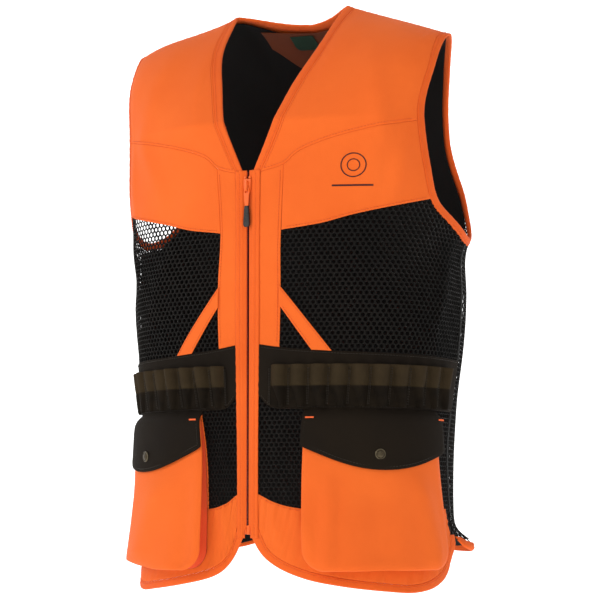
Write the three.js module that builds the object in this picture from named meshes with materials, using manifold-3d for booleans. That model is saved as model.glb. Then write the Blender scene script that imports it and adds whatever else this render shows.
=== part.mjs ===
// Blaze orange hunting vest, modelled as worn. Millimetres, +Z up, the vest's front faces -Y.
// The origin is midway between the two points where the neck opening meets the shoulder seams.
//
// Every cloth piece lies on one body surface. A place on it is [around, down]: 'around' is the
// distance in mm from the zip line, measured round the waist (positive to the wearer's left), and
// 'down' is the height below the shoulder seam in mm, negative downwards.
import * as THREE from 'three';
import Module from 'manifold-3d';

// ---- driving dimensions -------------------------------------------------------------------
const ROUNDNESS = 2.45; // exponent of the superellipse that a cross-section of the body follows
const WAIST_HALF_WIDTH = 198;
const FRONT_DEPTH = 139;
const BACK_DEPTH = 122;
const CHEST_LEVEL = -150; // above this height the body curves in towards the shoulder seam
const SHOULDER_Y = -22;
const NECK_HALF_WIDTH = 72;
const SHOULDER_HALF_WIDTH = 197;
const SHOULDER_SLOPE = 0.375;
const CHEST_HOLLOW = 0.7; // how nearly straight the chest runs up to the neck, from 0 to 1
const HALF_WIDTH_BY_HEIGHT = [
  [-700, 190], [-540, 181], [-400, 195], [-345, 199], [-300, 198], [-250, 204], [-200, 209], [0, 206]];
const BACK_DEPTH_BY_HEIGHT = [[-700, 124], [-480, 118], [-300, 130], [-150, 130], [0, 124]];

const CLOTH = 3; // thickness of a sewn panel
const SEAM_GAP = 0.5; // each panel stops this far short of its seam line
const BINDING_WIDTH = 9;
const BINDING_THICKNESS = 4;

const ZIP_TOP = -211;
const ZIP_BOTTOM = -624;
const ZIP_HALF_GAP = 1.3;
const ZIP_TAPE_EDGE = 11.8;
const PLACKET_EDGE = 40;
const BELT_BOTTOM = -480;
const SIDE_SEAM = 290;
const LOOP_COUNT = 10;
const LOOP_PITCH = 23.4;
const FIRST_LOOP = 42;
const LOOP_TOP = -430;
const LOOP_BOTTOM = -478;
const LOOP_WIDTH = 18.6;
const LOOP_BULGE = 10.5;
const POCKET_INNER = 75;
const POCKET_OUTER = 247;
const POCKET_TOP = -489;
const POCKET_BOTTOM = -661;
const POCKET_CORNER = 24;
const POCKET_LIFT_TOP = 6.5;
const POCKET_LIFT_BOTTOM = 20;
const FLAP_TOP = -485;
const FLAP_SIDE = -523;
const FLAP_TIP = -549;
const SNAP_HEIGHT = -531;
const SNAP_RADIUS = 6;
const VENT_TOP = -622;
const BACK_HEM = -640;
const BACK_YOKE_SEAM = -190;
const BACK_SIDE_SEAM = 345;
const POUCH_TOP = -440;
const POUCH_HALF_WIDTH = 165;

// ---- colours and finishes -----------------------------------------------------------------
const FINISHES = {
  orange_cloth: { color: 0xf0752b, roughness: 0.85 },
  orange_binding: { color: 0xea6a22, roughness: 0.8 },
  gusset_cloth: { color: 0xc8402a, roughness: 0.85 },
  black_net: { color: 0x1a1613, roughness: 0.8 },
  olive_cloth: { color: 0x2f281c, roughness: 0.85 },
  olive_elastic: { color: 0x3a3122, roughness: 0.8 },
  dark_lining: { color: 0x0c0b0a, roughness: 0.9 },
  facing_cloth: { color: 0x8a4a20, roughness: 0.85 },
  label_cloth: { color: 0x12402a, roughness: 0.8 },
  zip_coil: { color: 0x8f1d0c, roughness: 0.5 },
  zip_metal: { color: 0xc65a28, roughness: 0.4, metalness: 0.6 },
  pull_rubber: { color: 0x14110f, roughness: 0.6 },
  snap_brass: { color: 0x6f5a3a, roughness: 0.35, metalness: 1 },
};

const vest = new THREE.Group();

function addPiece(name, geometry, finish) {
  const mesh = new THREE.Mesh(geometry, new THREE.MeshStandardMaterial(FINISHES[finish]));
  mesh.name = name;
  vest.add(mesh);
  return mesh;
}

// ---- the body surface ---------------------------------------------------------------------
// A smooth curve through a table of [height, value] rows.
function valueAt(table, height) {
  const slope = (row) => {
    const [before, after] = [table[Math.max(row - 1, 0)], table[Math.min(row + 1, table.length - 1)]];
    return (after[1] - before[1]) / (after[0] - before[0]);
  };
  let row = 0;
  while (row < table.length - 2 && height > table[row + 1][0]) row += 1;
  const [[h0, v0], [h1, v1]] = [table[row], table[row + 1]];
  const span = h1 - h0;
  const t = THREE.MathUtils.clamp((height - h0) / span, 0, 1);
  return (2 * t ** 3 - 3 * t ** 2 + 1) * v0 + (t ** 3 - 2 * t ** 2 + t) * span * slope(row)
    + (-2 * t ** 3 + 3 * t ** 2) * v1 + (t ** 3 - t ** 2) * span * slope(row + 1);
}

function roundSection(angle) {
  const power = 2 / ROUNDNESS;
  const [s, c] = [Math.sin(angle), Math.cos(angle)];
  return [Math.sign(s) * Math.abs(s) ** power, -Math.sign(c) * Math.abs(c) ** power];
}

const ARC_STEPS = 2000;
const arcLengths = [0];
for (let i = 1; i <= ARC_STEPS; i += 1) {
  const ends = [i - 1, i].map((step) => {
    const [x, y] = roundSection((Math.PI * step) / ARC_STEPS);
    return [WAIST_HALF_WIDTH * x, (y < 0 ? FRONT_DEPTH : BACK_DEPTH) * y];
  });
  arcLengths.push(arcLengths[i - 1] + Math.hypot(ends[1][0] - ends[0][0], ends[1][1] - ends[0][1]));
}
const BACK_MIDDLE = arcLengths[ARC_STEPS];

function angleAt(around) {
  if (around < 0) return -angleAt(-around);
  if (around > BACK_MIDDLE) return 2 * Math.PI - angleAt(2 * BACK_MIDDLE - around);
  let [low, high] = [0, ARC_STEPS];
  while (high - low > 1) {
    const middle = (low + high) >> 1;
    if (arcLengths[middle] > around) high = middle;
    else low = middle;
  }
  const part = (around - arcLengths[low]) / (arcLengths[high] - arcLengths[low]);
  return (Math.PI * (low + part)) / ARC_STEPS;
}

function surfacePoint(around, down) {
  const [sideways, depthwise] = roundSection(angleAt(around));
  const x = valueAt(HALF_WIDTH_BY_HEIGHT, down) * sideways;
  const isFront = depthwise < 0;
  const depth = isFront ? FRONT_DEPTH : valueAt(BACK_DEPTH_BY_HEIGHT, down);
  const uprightY = depth * depthwise;
  if (down <= CHEST_LEVEL) return new THREE.Vector3(x, uprightY, down);
  const rise = (down - CHEST_LEVEL) / -CHEST_LEVEL;
  const turn = (rise * Math.PI) / 2;
  const towardsArm = (180 - Math.abs(x)) / (180 - NECK_HALF_WIDTH);
  const straight = isFront ? CHEST_HOLLOW * THREE.MathUtils.clamp(towardsArm, 0, 1) : 0;
  const inward = (1 - straight) * Math.cos(turn) + straight * (1 - rise);
  const upward = (1 - straight) * Math.sin(turn) + straight * rise;
  const seamHeight = -SHOULDER_SLOPE * Math.max(Math.abs(x) - NECK_HALF_WIDTH, 0);
  return new THREE.Vector3(
    x,
    SHOULDER_Y + (uprightY - SHOULDER_Y) * inward,
    CHEST_LEVEL + (seamHeight - CHEST_LEVEL) * upward,
  );
}

function outwardNormal(around, down) {
  const step = 2;
  const across = surfacePoint(around + step, down).sub(surfacePoint(around - step, down));
  const top = Math.min(down + step, 0);
  const up = surfacePoint(around, top).sub(surfacePoint(around, top - 2 * step));
  return across.cross(up).normalize();
}

function liftedPoint([around, down], lift) {
  return surfacePoint(around, down).addScaledVector(outwardNormal(around, down), lift);
}

// The place on the shoulder seam that lies x mm from the middle, on the front or the back chart.
function shoulderPlace(x, back = false) {
  let [low, high] = [back ? BACK_MIDDLE : 0, BACK_MIDDLE / 2];
  for (let i = 0; i < 40; i += 1) {
    const middle = (low + high) / 2;
    if (surfacePoint(middle, 0).x < x) low = middle;
    else high = middle;
  }
  return [low, 0];
}

// ---- lines and panels on that surface -----------------------------------------------------
function smoothLine(places) {
  const points = places.map(([around, down]) => new THREE.Vector3(around, down, 0));
  const curve = new THREE.CatmullRomCurve3(points, false, 'centripetal');
  return (t) => {
    const point = curve.getPoint(THREE.MathUtils.clamp(t, 0, 1));
    return [point.x, point.y];
  };
}

function straightLine(from, to) {
  return (t) => [from[0] + (to[0] - from[0]) * t, from[1] + (to[1] - from[1]) * t];
}

function partOf(line, from, to) {
  return (t) => line(from + (to - from) * t);
}

// Two lines run one after the other, the first taking the share 'share' of the way.
function chained(first, second, share) {
  return (t) => (t < share ? first(t / share) : second((t - share) / (1 - share)));
}

// The same line, travelled at an even pace.
function evenly(line) {
  const samples = 60;
  const places = [];
  for (let i = 0; i <= samples; i += 1) places.push(line(i / samples));
  const travelled = [0];
  for (let i = 1; i <= samples; i += 1) {
    const [previous, next] = [places[i - 1], places[i]];
    travelled.push(travelled[i - 1] + Math.hypot(next[0] - previous[0], next[1] - previous[1]));
  }
  return (t) => {
    const wanted = THREE.MathUtils.clamp(t, 0, 1) * travelled[samples];
    let i = 1;
    while (i < samples && travelled[i] < wanted) i += 1;
    const part = (wanted - travelled[i - 1]) / Math.max(travelled[i] - travelled[i - 1], 1e-6);
    return straightLine(places[i - 1], places[i])(part);
  };
}

// Grid of places filling four edges (a Coons patch). Lower and upper run the same way, and so do
// start and end, which both run from lower to upper.
function panelGrid(edges, columns, rows, gap = SEAM_GAP) {
  const [lower, upper] = [evenly(edges.lower), evenly(edges.upper)];
  const start = evenly(edges.start ?? straightLine(lower(0), upper(0)));
  const end = evenly(edges.end ?? straightLine(lower(1), upper(1)));
  const size = (from, to) => Math.max(Math.hypot(from[0] - to[0], from[1] - to[1]), 20);
  const trimAcross = gap / size(lower(0.5), lower(0)) / 2;
  const trimUp = gap / size(lower(0.5), upper(0.5));
  const grid = [];
  for (let i = 0; i <= columns; i += 1) {
    const s = trimAcross + (1 - 2 * trimAcross) * (i / columns);
    const column = [];
    for (let j = 0; j <= rows; j += 1) {
      const t = trimUp + (1 - 2 * trimUp) * (j / rows);
      column.push([0, 1].map((k) => (1 - t) * lower(s)[k] + t * upper(s)[k]
        + (1 - s) * start(t)[k] + s * end(t)[k]
        - (1 - s) * (1 - t) * lower(0)[k] - s * (1 - t) * lower(1)[k]
        - (1 - s) * t * upper(0)[k] - s * t * upper(1)[k]));
    }
    grid.push(column);
  }
  return grid;
}

function closedGeometry(points, triangles) {
  let volume = 0;
  for (const [a, b, c] of triangles) volume += points[a].dot(points[b].clone().cross(points[c]));
  const index = triangles.flatMap(([a, b, c]) => (volume > 0 ? [a, b, c] : [a, c, b]));
  const geometry = new THREE.BufferGeometry();
  geometry.setAttribute('position', new THREE.Float32BufferAttribute(points.flatMap((p) => p.toArray()), 3));
  geometry.setIndex(index);
  geometry.computeVertexNormals();
  return geometry;
}

// A closed solid from a grid of places, between two heights above the body surface. Each height is
// a number or a function of [around, down].
function sheetSolid(grid, inner, outer) {
  const columns = grid.length;
  const rows = grid[0].length;
  const heightOf = (height, place) => (typeof height === 'function' ? height(place) : height);
  const points = [];
  for (const height of [inner, outer]) {
    for (const column of grid) {
      for (const place of column) points.push(liftedPoint(place, heightOf(height, place)));
    }
  }
  const vertex = (layer, i, j) => (layer * columns + i) * rows + j;
  const triangles = [];
  const quad = (a, b, c, d) => triangles.push([a, b, c], [a, c, d]);
  for (let i = 0; i < columns - 1; i += 1) {
    for (let j = 0; j < rows - 1; j += 1) {
      quad(vertex(1, i, j), vertex(1, i + 1, j), vertex(1, i + 1, j + 1), vertex(1, i, j + 1));
      quad(vertex(0, i, j), vertex(0, i, j + 1), vertex(0, i + 1, j + 1), vertex(0, i + 1, j));
    }
    quad(vertex(0, i, 0), vertex(0, i + 1, 0), vertex(1, i + 1, 0), vertex(1, i, 0));
    const top = rows - 1;
    quad(vertex(0, i, top), vertex(1, i, top), vertex(1, i + 1, top), vertex(0, i + 1, top));
  }
  for (let j = 0; j < rows - 1; j += 1) {
    quad(vertex(0, 0, j), vertex(1, 0, j), vertex(1, 0, j + 1), vertex(0, 0, j + 1));
    const last = columns - 1;
    quad(vertex(0, last, j), vertex(0, last, j + 1), vertex(1, last, j + 1), vertex(1, last, j));
  }
  return closedGeometry(points, triangles);
}

// The same geometry on the wearer's other side.
function mirrored(geometry) {
  const position = geometry.getAttribute('position');
  const points = [];
  for (let i = 0; i < position.count; i += 1) {
    points.push(new THREE.Vector3(-position.getX(i), position.getY(i), position.getZ(i)));
  }
  const index = Array.from(geometry.getIndex().array);
  const triangles = [];
  for (let i = 0; i < index.length; i += 3) triangles.push(index.slice(i, i + 3));
  return closedGeometry(points, triangles);
}

function addPair(name, geometry, finish) {
  addPiece(`left_${name}`, geometry, finish);
  addPiece(`right_${name}`, mirrored(geometry), finish);
}

function addPanelPair(name, edges, columns, rows, finish, gap = SEAM_GAP) {
  addPair(name, sheetSolid(panelGrid(edges, columns, rows, gap), 0, CLOTH), finish);
}

// ---- seam lines of the wearer's left side ---------------------------------------------------
const neckEdge = smoothLine([
  shoulderPlace(NECK_HALF_WIDTH), [60, -65], [43, -112], [33, -142], [20, -176], [6, -209]]);
const neckSeam = smoothLine([
  shoulderPlace(NECK_HALF_WIDTH + BINDING_WIDTH),
  [69.5, -68], [52, -116], [41.5, -146], [28.5, -180], [15, -209]]);
// The armhole, from the shoulder seam down the front, under the arm and up the back.
const armholeSeam = smoothLine([
  shoulderPlace(SHOULDER_HALF_WIDTH - BINDING_WIDTH),
  [196, -83], [190, -153], [210, -241], [247, -268], [SIDE_SEAM, -284],
  [320, -280], [352, -246], [388, -190], [402, -141], [398, -96],
  shoulderPlace(SHOULDER_HALF_WIDTH - BINDING_WIDTH, true)]);
const armholeEdge = smoothLine([
  shoulderPlace(SHOULDER_HALF_WIDTH), [205, -86], [199, -153], [218, -236], [252, -260], [SIDE_SEAM, -275],
  [318, -270.5], [344, -241], [379, -187], [393, -141], [389, -100],
  shoulderPlace(SHOULDER_HALF_WIDTH, true)]);
const ARMHOLE_SPANS = 11;
const armholePart = (from, to) => partOf(armholeSeam, from / ARMHOLE_SPANS, to / ARMHOLE_SPANS);
const yokeSeam = smoothLine([[15, -209], [43, -201], [57, -189], [80, -179], [122, -167], [190, -153]]);
const netTop = smoothLine([[41.5, -277], [86, -271], [120, -262], [168, -251], [210, -241]]);
const beltTopLine = smoothLine([[12.8, -406], [PLACKET_EDGE, -410], [100, -415], [SIDE_SEAM, -420]]);
const HEM_TOP = -592;
const FRONT_SIDE_EDGE = SIDE_SEAM - 14; // where the front hem's panel ends beside the side vent
const hemTopLine = smoothLine([[14, -575], [41, -586], [POCKET_INNER, HEM_TOP], [FRONT_SIDE_EDGE, HEM_TOP]]);
const hemSeam = smoothLine([
  [14, -611], [28, -637], [46, -650], [76, -661], [115, -669], [165, -675], [205, -677],
  [237, -670], [262, -656], [275, -637], [SIDE_SEAM - 9, VENT_TOP]]);
const hemEdge = smoothLine([
  [4, -621], [20, -644], [40, -658], [72, -670], [113, -678], [165, -684], [206, -686],
  [242, -679], [270, -664], [284, -641], [SIDE_SEAM, VENT_TOP]]);

// ---- front cloth -----------------------------------------------------------------------------
addPanelPair('front_yoke', {
  lower: yokeSeam,
  upper: straightLine(neckSeam(0), armholeSeam(0)),
  start: (t) => neckSeam(1 - t),
  end: (t) => armholePart(0, 2)(1 - t),
}, 10, 8, 'orange_cloth');

const PLACKET_SHARE = 0.19; // share of the yoke seam that lies above the placket
const placketTop = yokeSeam(PLACKET_SHARE);
const placketSide = straightLine([PLACKET_EDGE, -410], placketTop);
const netTopShare = (netTop(0)[1] + 410) / (placketTop[1] + 410);
addPanelPair('placket', {
  lower: partOf(beltTopLine, 0, 1 / 3),
  upper: partOf(yokeSeam, 0, PLACKET_SHARE),
  end: placketSide,
}, 2, 8, 'orange_cloth');

addPanelPair('chest_panel', {
  lower: netTop,
  upper: partOf(yokeSeam, PLACKET_SHARE, 1),
  start: (t) => placketSide(netTopShare * (1 - t) + t),
  end: (t) => armholePart(2, 3)(1 - t),
}, 10, 3, 'orange_cloth', 1.4);

addPanelPair('upper_net', {
  lower: partOf(beltTopLine, 1 / 3, 1),
  upper: chained(netTop, armholePart(3, 5), 0.7),
}, 12, 5, 'black_net');

addPair('diagonal_tape', sheetSolid(panelGrid({
  lower: straightLine([79, -414], [102, -415.5]),
  upper: straightLine([PLACKET_EDGE + 0.6, -361], [PLACKET_EDGE + 0.6, -340]),
}, 1, 4), CLOTH + 0.7, CLOTH + 2.2), 'orange_cloth');

// ---- belt and its cartridge loops --------------------------------------------------------------
addPanelPair('belt', {
  lower: smoothLine([[13.2, -462], [30, BELT_BOTTOM + 3], [60, BELT_BOTTOM], [SIDE_SEAM, BELT_BOTTOM]]),
  upper: beltTopLine,
}, 14, 2, 'olive_cloth');

function loopLift(around) {
  const position = (around - FIRST_LOOP) / LOOP_PITCH;
  const fromCentre = (position - Math.round(position)) * LOOP_PITCH;
  const isLoop = Math.abs(fromCentre) < LOOP_WIDTH / 2;
  return isLoop ? LOOP_BULGE * Math.cos((Math.PI * fromCentre) / LOOP_WIDTH) ** 0.6 : 0;
}

const LOOP_BAND_BASE = CLOTH + 1.4;
const LOOP_BAND_THICKNESS = 1.8;
const loopGrid = [];
for (let i = 0; i < LOOP_COUNT; i += 1) {
  const centre = FIRST_LOOP + i * LOOP_PITCH;
  for (const step of [-1.12, -0.98, -0.7, -0.3, 0.3, 0.7, 0.98]) {
    const around = centre + (step * LOOP_WIDTH) / 2;
    loopGrid.push([[around, LOOP_BOTTOM], [around, LOOP_TOP]]);
  }
}
const lastLoopEnd = FIRST_LOOP + (LOOP_COUNT - 1) * LOOP_PITCH + 0.62 * LOOP_WIDTH;
loopGrid.push([[lastLoopEnd, LOOP_BOTTOM], [lastLoopEnd, LOOP_TOP]]);
addPair('cartridge_loops', sheetSolid(
  loopGrid,
  ([around]) => LOOP_BAND_BASE + loopLift(around),
  ([around]) => LOOP_BAND_BASE + LOOP_BAND_THICKNESS + loopLift(around),
), 'olive_elastic');

// ---- below the belt -----------------------------------------------------------------------------
const belowBelt = BELT_BOTTOM - 1;
const beltBottomLine = smoothLine([
  [13.4, -463], [30, BELT_BOTTOM + 2], [60, belowBelt], [POCKET_INNER, belowBelt]]);
addPanelPair('lower_net', {
  lower: partOf(hemTopLine, 0, 2 / 3),
  upper: beltBottomLine,
}, 3, 4, 'black_net');

addPanelPair('pocket_back', {
  lower: partOf(hemTopLine, 2 / 3, 0.95),
  upper: straightLine([POCKET_INNER, belowBelt], [POCKET_OUTER, belowBelt]),
}, 9, 3, 'orange_cloth');

addPanelPair('side_net', {
  lower: straightLine(hemTopLine(0.95), [SIDE_SEAM, HEM_TOP]),
  upper: straightLine([POCKET_OUTER, belowBelt], [SIDE_SEAM, belowBelt]),
}, 3, 3, 'black_net');

addPanelPair('hem_panel', {
  lower: hemSeam,
  upper: hemTopLine,
}, 16, 3, 'orange_cloth');

// ---- bellows pockets ------------------------------------------------------------------------------
function pocketLift([, down]) {
  const share = THREE.MathUtils.clamp((POCKET_TOP - down) / (POCKET_TOP - POCKET_BOTTOM), 0, 1);
  return POCKET_LIFT_TOP + (POCKET_LIFT_BOTTOM - POCKET_LIFT_TOP) * Math.sin((share * Math.PI) / 2) ** 0.9;
}

// Half-width of a rounded-bottom pocket outline at a height, measured as an inset from its sides.
function cornerInset(down, bottom, radius) {
  const below = radius - (down - bottom);
  return below <= 0 ? 0 : radius - Math.sqrt(Math.max(radius ** 2 - below ** 2, 0));
}

const pocketCornerTop = POCKET_BOTTOM + POCKET_CORNER;
const pocketRows = [0, 0.3, 1, 2.2, 3.8, 5].map((k) => POCKET_BOTTOM + (k * POCKET_CORNER) / 5)
  .concat([0.25, 0.5, 0.75, 1].map((t) => pocketCornerTop + t * (POCKET_TOP - pocketCornerTop)));
const POCKET_COLUMNS = 10;
const pocketGrid = [];
for (let i = 0; i <= POCKET_COLUMNS; i += 1) {
  pocketGrid.push(pocketRows.map((down) => {
    const inset = cornerInset(down, POCKET_BOTTOM, POCKET_CORNER);
    const share = i / POCKET_COLUMNS;
    return [POCKET_INNER + inset + share * (POCKET_OUTER - POCKET_INNER - 2 * inset), down];
  }));
}
const pocketFace = (place) => pocketLift(place) + CLOTH;
addPair('pocket_front', sheetSolid(pocketGrid, pocketLift, pocketFace), 'orange_cloth');

// The gusset is a wall that follows the pocket's sides and bottom, just inside its edge.
const GUSSET_INSET = 1;
const GUSSET_THICKNESS = 2.5;
function gussetPlaces(inset) {
  const [inner, outer] = [POCKET_INNER + inset, POCKET_OUTER - inset];
  const bottom = POCKET_BOTTOM + inset;
  const radius = POCKET_CORNER - inset;
  const top = POCKET_TOP - 4;
  const places = [0, 0.25, 0.5, 0.75].map((t) => [inner, top + t * (bottom + radius - top)]);
  const arc = (centre, from) => [0, 1, 2, 3, 4].map((k) => {
    const angle = from + (k * Math.PI) / 8;
    return [centre + radius * Math.cos(angle), bottom + radius + radius * Math.sin(angle)];
  });
  places.push(...arc(inner + radius, Math.PI));
  const straightPart = outer - inner - 2 * radius;
  places.push(...[1, 2, 3, 4, 5, 6].map((k) => [inner + radius + (k / 7) * straightPart, bottom]));
  places.push(...arc(outer - radius, 1.5 * Math.PI));
  places.push(...[0.75, 0.5, 0.25, 0].map((t) => [outer, top + t * (bottom + radius - top)]));
  return places;
}
const gussetOutside = gussetPlaces(GUSSET_INSET);
const gussetInside = gussetPlaces(GUSSET_INSET + GUSSET_THICKNESS);
addPair('pocket_gusset', sheetSolid(
  gussetOutside.map((place, i) => [place, gussetInside[i]]),
  CLOTH + 0.8,
  (place) => pocketLift(place) - 0.7,
), 'gusset_cloth');

// ---- pocket flaps -------------------------------------------------------------------------------
function flapLift(place) {
  return pocketLift(place) + CLOTH + 2.6;
}

function flapBottom(share) {
  const dip = Math.sin(Math.PI * share) ** 1.6;
  return FLAP_SIDE + (FLAP_TIP - FLAP_SIDE) * dip;
}

const FLAP_COLUMNS = 12;
const flapGrid = [];
for (let i = 0; i <= FLAP_COLUMNS; i += 1) {
  const share = i / FLAP_COLUMNS;
  const around = POCKET_INNER - 2 + share * (POCKET_OUTER - POCKET_INNER + 6);
  const bottom = flapBottom(share);
  flapGrid.push([0, 1, 2, 3].map((row) => [around, FLAP_TOP + ((bottom - FLAP_TOP) * row) / 3]));
}
addPair('pocket_flap', sheetSolid(flapGrid, flapLift, (place) => flapLift(place) + CLOTH), 'olive_cloth');

// A round piece standing on the body surface: its profile is [radius, height above the surface].
function buttonOnSurface(place, profile, sides = 16) {
  const lathe = new THREE.LatheGeometry(profile.map(([r, h]) => new THREE.Vector2(r, h)), sides);
  const up = new THREE.Vector3(0, 1, 0);
  const turn = new THREE.Quaternion().setFromUnitVectors(up, outwardNormal(...place));
  lathe.applyQuaternion(turn);
  const middle = surfacePoint(...place);
  lathe.translate(middle.x, middle.y, middle.z);
  return weldedSolid(lathe);
}

// Joins points that lie in the same place, as along a turned shape's seam and at its poles.
function weldedSolid(source) {
  const position = source.getAttribute('position');
  const known = new Map();
  const points = [];
  const rename = [];
  for (let i = 0; i < position.count; i += 1) {
    const point = new THREE.Vector3().fromBufferAttribute(position, i);
    const key = point.toArray().map((value) => Math.round(value * 1000)).join(',');
    if (!known.has(key)) {
      known.set(key, points.length);
      points.push(point);
    }
    rename.push(known.get(key));
  }
  const order = source.getIndex() ? Array.from(source.getIndex().array) : rename.map((_, i) => i);
  const triangles = [];
  for (let i = 0; i < order.length; i += 3) {
    const triangle = [rename[order[i]], rename[order[i + 1]], rename[order[i + 2]]];
    if (new Set(triangle).size === 3) triangles.push(triangle);
  }
  return closedGeometry(points, triangles);
}

const snapPlace = [(POCKET_INNER + POCKET_OUTER) / 2, SNAP_HEIGHT];
const flapOuter = flapLift(snapPlace) + CLOTH;
addPair('snap_cap', buttonOnSurface(snapPlace, [
  [0, flapOuter + 1], [SNAP_RADIUS, flapOuter + 1], [SNAP_RADIUS, flapOuter + 1.5],
  [SNAP_RADIUS * 0.85, flapOuter + 2.1], [SNAP_RADIUS * 0.4, flapOuter + 2.6], [0, flapOuter + 2.7],
]), 'snap_brass');
const pocketOuter = pocketLift(snapPlace) + CLOTH;
addPair('snap_stud', buttonOnSurface(snapPlace, [
  [0, pocketOuter + 0.7], [4.5, pocketOuter + 0.7], [4.5, pocketOuter + 1.2], [2, pocketOuter + 1.4],
  [2, pocketOuter + 1.9], [0, pocketOuter + 1.9],
]), 'snap_brass');

// ---- zip ---------------------------------------------------------------------------------------
const ZIP_Y = -FRONT_DEPTH;
const TAPE_THICKNESS = 1.8;
const COIL_DEPTH = 2.6;
const COIL_WIDTH = 2.2;

// A prism standing along the zip: its outline is in [x, forward], where forward is towards -Y.
function uprightPrism(outline, bottom, top) {
  const shape = new THREE.Shape(outline.map(([x, forward]) => new THREE.Vector2(x, forward)));
  const prism = new THREE.ExtrudeGeometry(shape, { depth: top - bottom, bevelEnabled: false, steps: 1 });
  const position = prism.getAttribute('position');
  for (let i = 0; i < position.count; i += 1) {
    position.setXYZ(i, position.getX(i), ZIP_Y - position.getY(i), bottom + position.getZ(i));
  }
  return weldedSolid(prism);
}

const tapeTop = ZIP_TOP - 2;
const tapeEnd = ZIP_BOTTOM + 14;
addPair('zip_tape', uprightPrism([
  [ZIP_HALF_GAP, 0], [ZIP_TAPE_EDGE, 0], [ZIP_TAPE_EDGE, TAPE_THICKNESS], [ZIP_HALF_GAP, TAPE_THICKNESS],
], tapeEnd, tapeTop), 'orange_binding');
addPair('zip_teeth', uprightPrism([
  [ZIP_HALF_GAP - 0.4, -COIL_DEPTH - 0.4], [ZIP_HALF_GAP + COIL_WIDTH, -COIL_DEPTH - 0.4],
  [ZIP_HALF_GAP + COIL_WIDTH, -0.4], [ZIP_HALF_GAP - 0.4, -0.4],
], tapeEnd, tapeTop), 'zip_coil');

function boxPiece([x0, y0, z0], [x1, y1, z1]) {
  const box = new THREE.BoxGeometry(x1 - x0, y1 - y0, z1 - z0);
  box.translate((x0 + x1) / 2, (y0 + y1) / 2, (z0 + z1) / 2);
  return weldedSolid(box);
}

const stopBack = ZIP_Y - TAPE_THICKNESS - 0.4;
addPair('zip_top_stop', boxPiece(
  [ZIP_HALF_GAP + 0.4, stopBack - 1.6, ZIP_TOP - 5],
  [ZIP_HALF_GAP + 3, stopBack, ZIP_TOP - 2.4]), 'zip_metal');
const boxTop = tapeEnd - 0.5;
addPiece('zip_bottom_box', boxPiece(
  [-0.9, ZIP_Y - 2.6, ZIP_BOTTOM + 3],
  [3.4, ZIP_Y + 3, boxTop]), 'zip_metal');
addPiece('zip_insertion_pin', boxPiece(
  [-3.4, ZIP_Y - 1.6, ZIP_BOTTOM + 3.5],
  [-1.6, ZIP_Y + 1.6, boxTop]), 'zip_metal');

// The slider has a plate on each side of the tapes, joined by a post that runs in the gap between them.
const sliderTop = ZIP_TOP - 5.6;
const SLIDER_HEIGHT = 17;
const SLIDER_HALF_WIDTH = 4.6;
const frontPlate = TAPE_THICKNESS + 0.6;
const backPlate = -COIL_DEPTH - 1;
const sliderSection = [
  [-0.6, frontPlate], [-SLIDER_HALF_WIDTH, frontPlate], [-SLIDER_HALF_WIDTH, frontPlate + 1.6],
  [SLIDER_HALF_WIDTH, frontPlate + 1.6], [SLIDER_HALF_WIDTH, frontPlate], [0.6, frontPlate],
  [0.6, backPlate], [SLIDER_HALF_WIDTH, backPlate], [SLIDER_HALF_WIDTH, backPlate - 1.2],
  [-SLIDER_HALF_WIDTH, backPlate - 1.2], [-SLIDER_HALF_WIDTH, backPlate], [-0.6, backPlate]];
const sliderBody = uprightPrism(sliderSection, sliderTop - SLIDER_HEIGHT, sliderTop);

// The bridge on the slider's face holds the pull: two feet, sunk a little into the face, and a bar.
const bridgeBack = ZIP_Y - frontPlate - 1.6;
const BRIDGE_FOOT = -0.5;
const BRIDGE_HALF_WIDTH = 1.3;
const bridgeZ = sliderTop - 5;
function crosswisePrism(outline, halfWidth) {
  const shape = new THREE.Shape(outline.map(([forward, z]) => new THREE.Vector2(forward, z)));
  const prism = new THREE.ExtrudeGeometry(shape, { depth: 2 * halfWidth, bevelEnabled: false, steps: 1 });
  const position = prism.getAttribute('position');
  for (let i = 0; i < position.count; i += 1) {
    position.setXYZ(i, position.getZ(i) - halfWidth, bridgeBack - position.getX(i), position.getY(i));
  }
  return weldedSolid(prism);
}
const sliderBridge = crosswisePrism([
  [BRIDGE_FOOT, bridgeZ + 3], [3.6, bridgeZ + 3], [3.6, bridgeZ - 9], [BRIDGE_FOOT, bridgeZ - 9],
  [BRIDGE_FOOT, bridgeZ - 7.4], [2.4, bridgeZ - 7.4], [2.4, bridgeZ + 1.4], [BRIDGE_FOOT, bridgeZ + 1.4],
], BRIDGE_HALF_WIDTH);

const wasm = await Module();
wasm.setup();
function manifoldOf(geometry) {
  return new wasm.Manifold(new wasm.Mesh({
    numProp: 3,
    vertProperties: geometry.getAttribute('position').array,
    triVerts: Uint32Array.from(geometry.getIndex().array),
  }));
}

function joined(first, second) {
  const mesh = manifoldOf(first).add(manifoldOf(second)).getMesh();
  const geometry = new THREE.BufferGeometry();
  geometry.setAttribute('position', new THREE.BufferAttribute(mesh.vertProperties, 3));
  geometry.setIndex(Array.from(mesh.triVerts));
  return weldedSolid(geometry);
}
addPiece('zip_slider', joined(sliderBody, sliderBridge), 'zip_metal');

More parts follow.
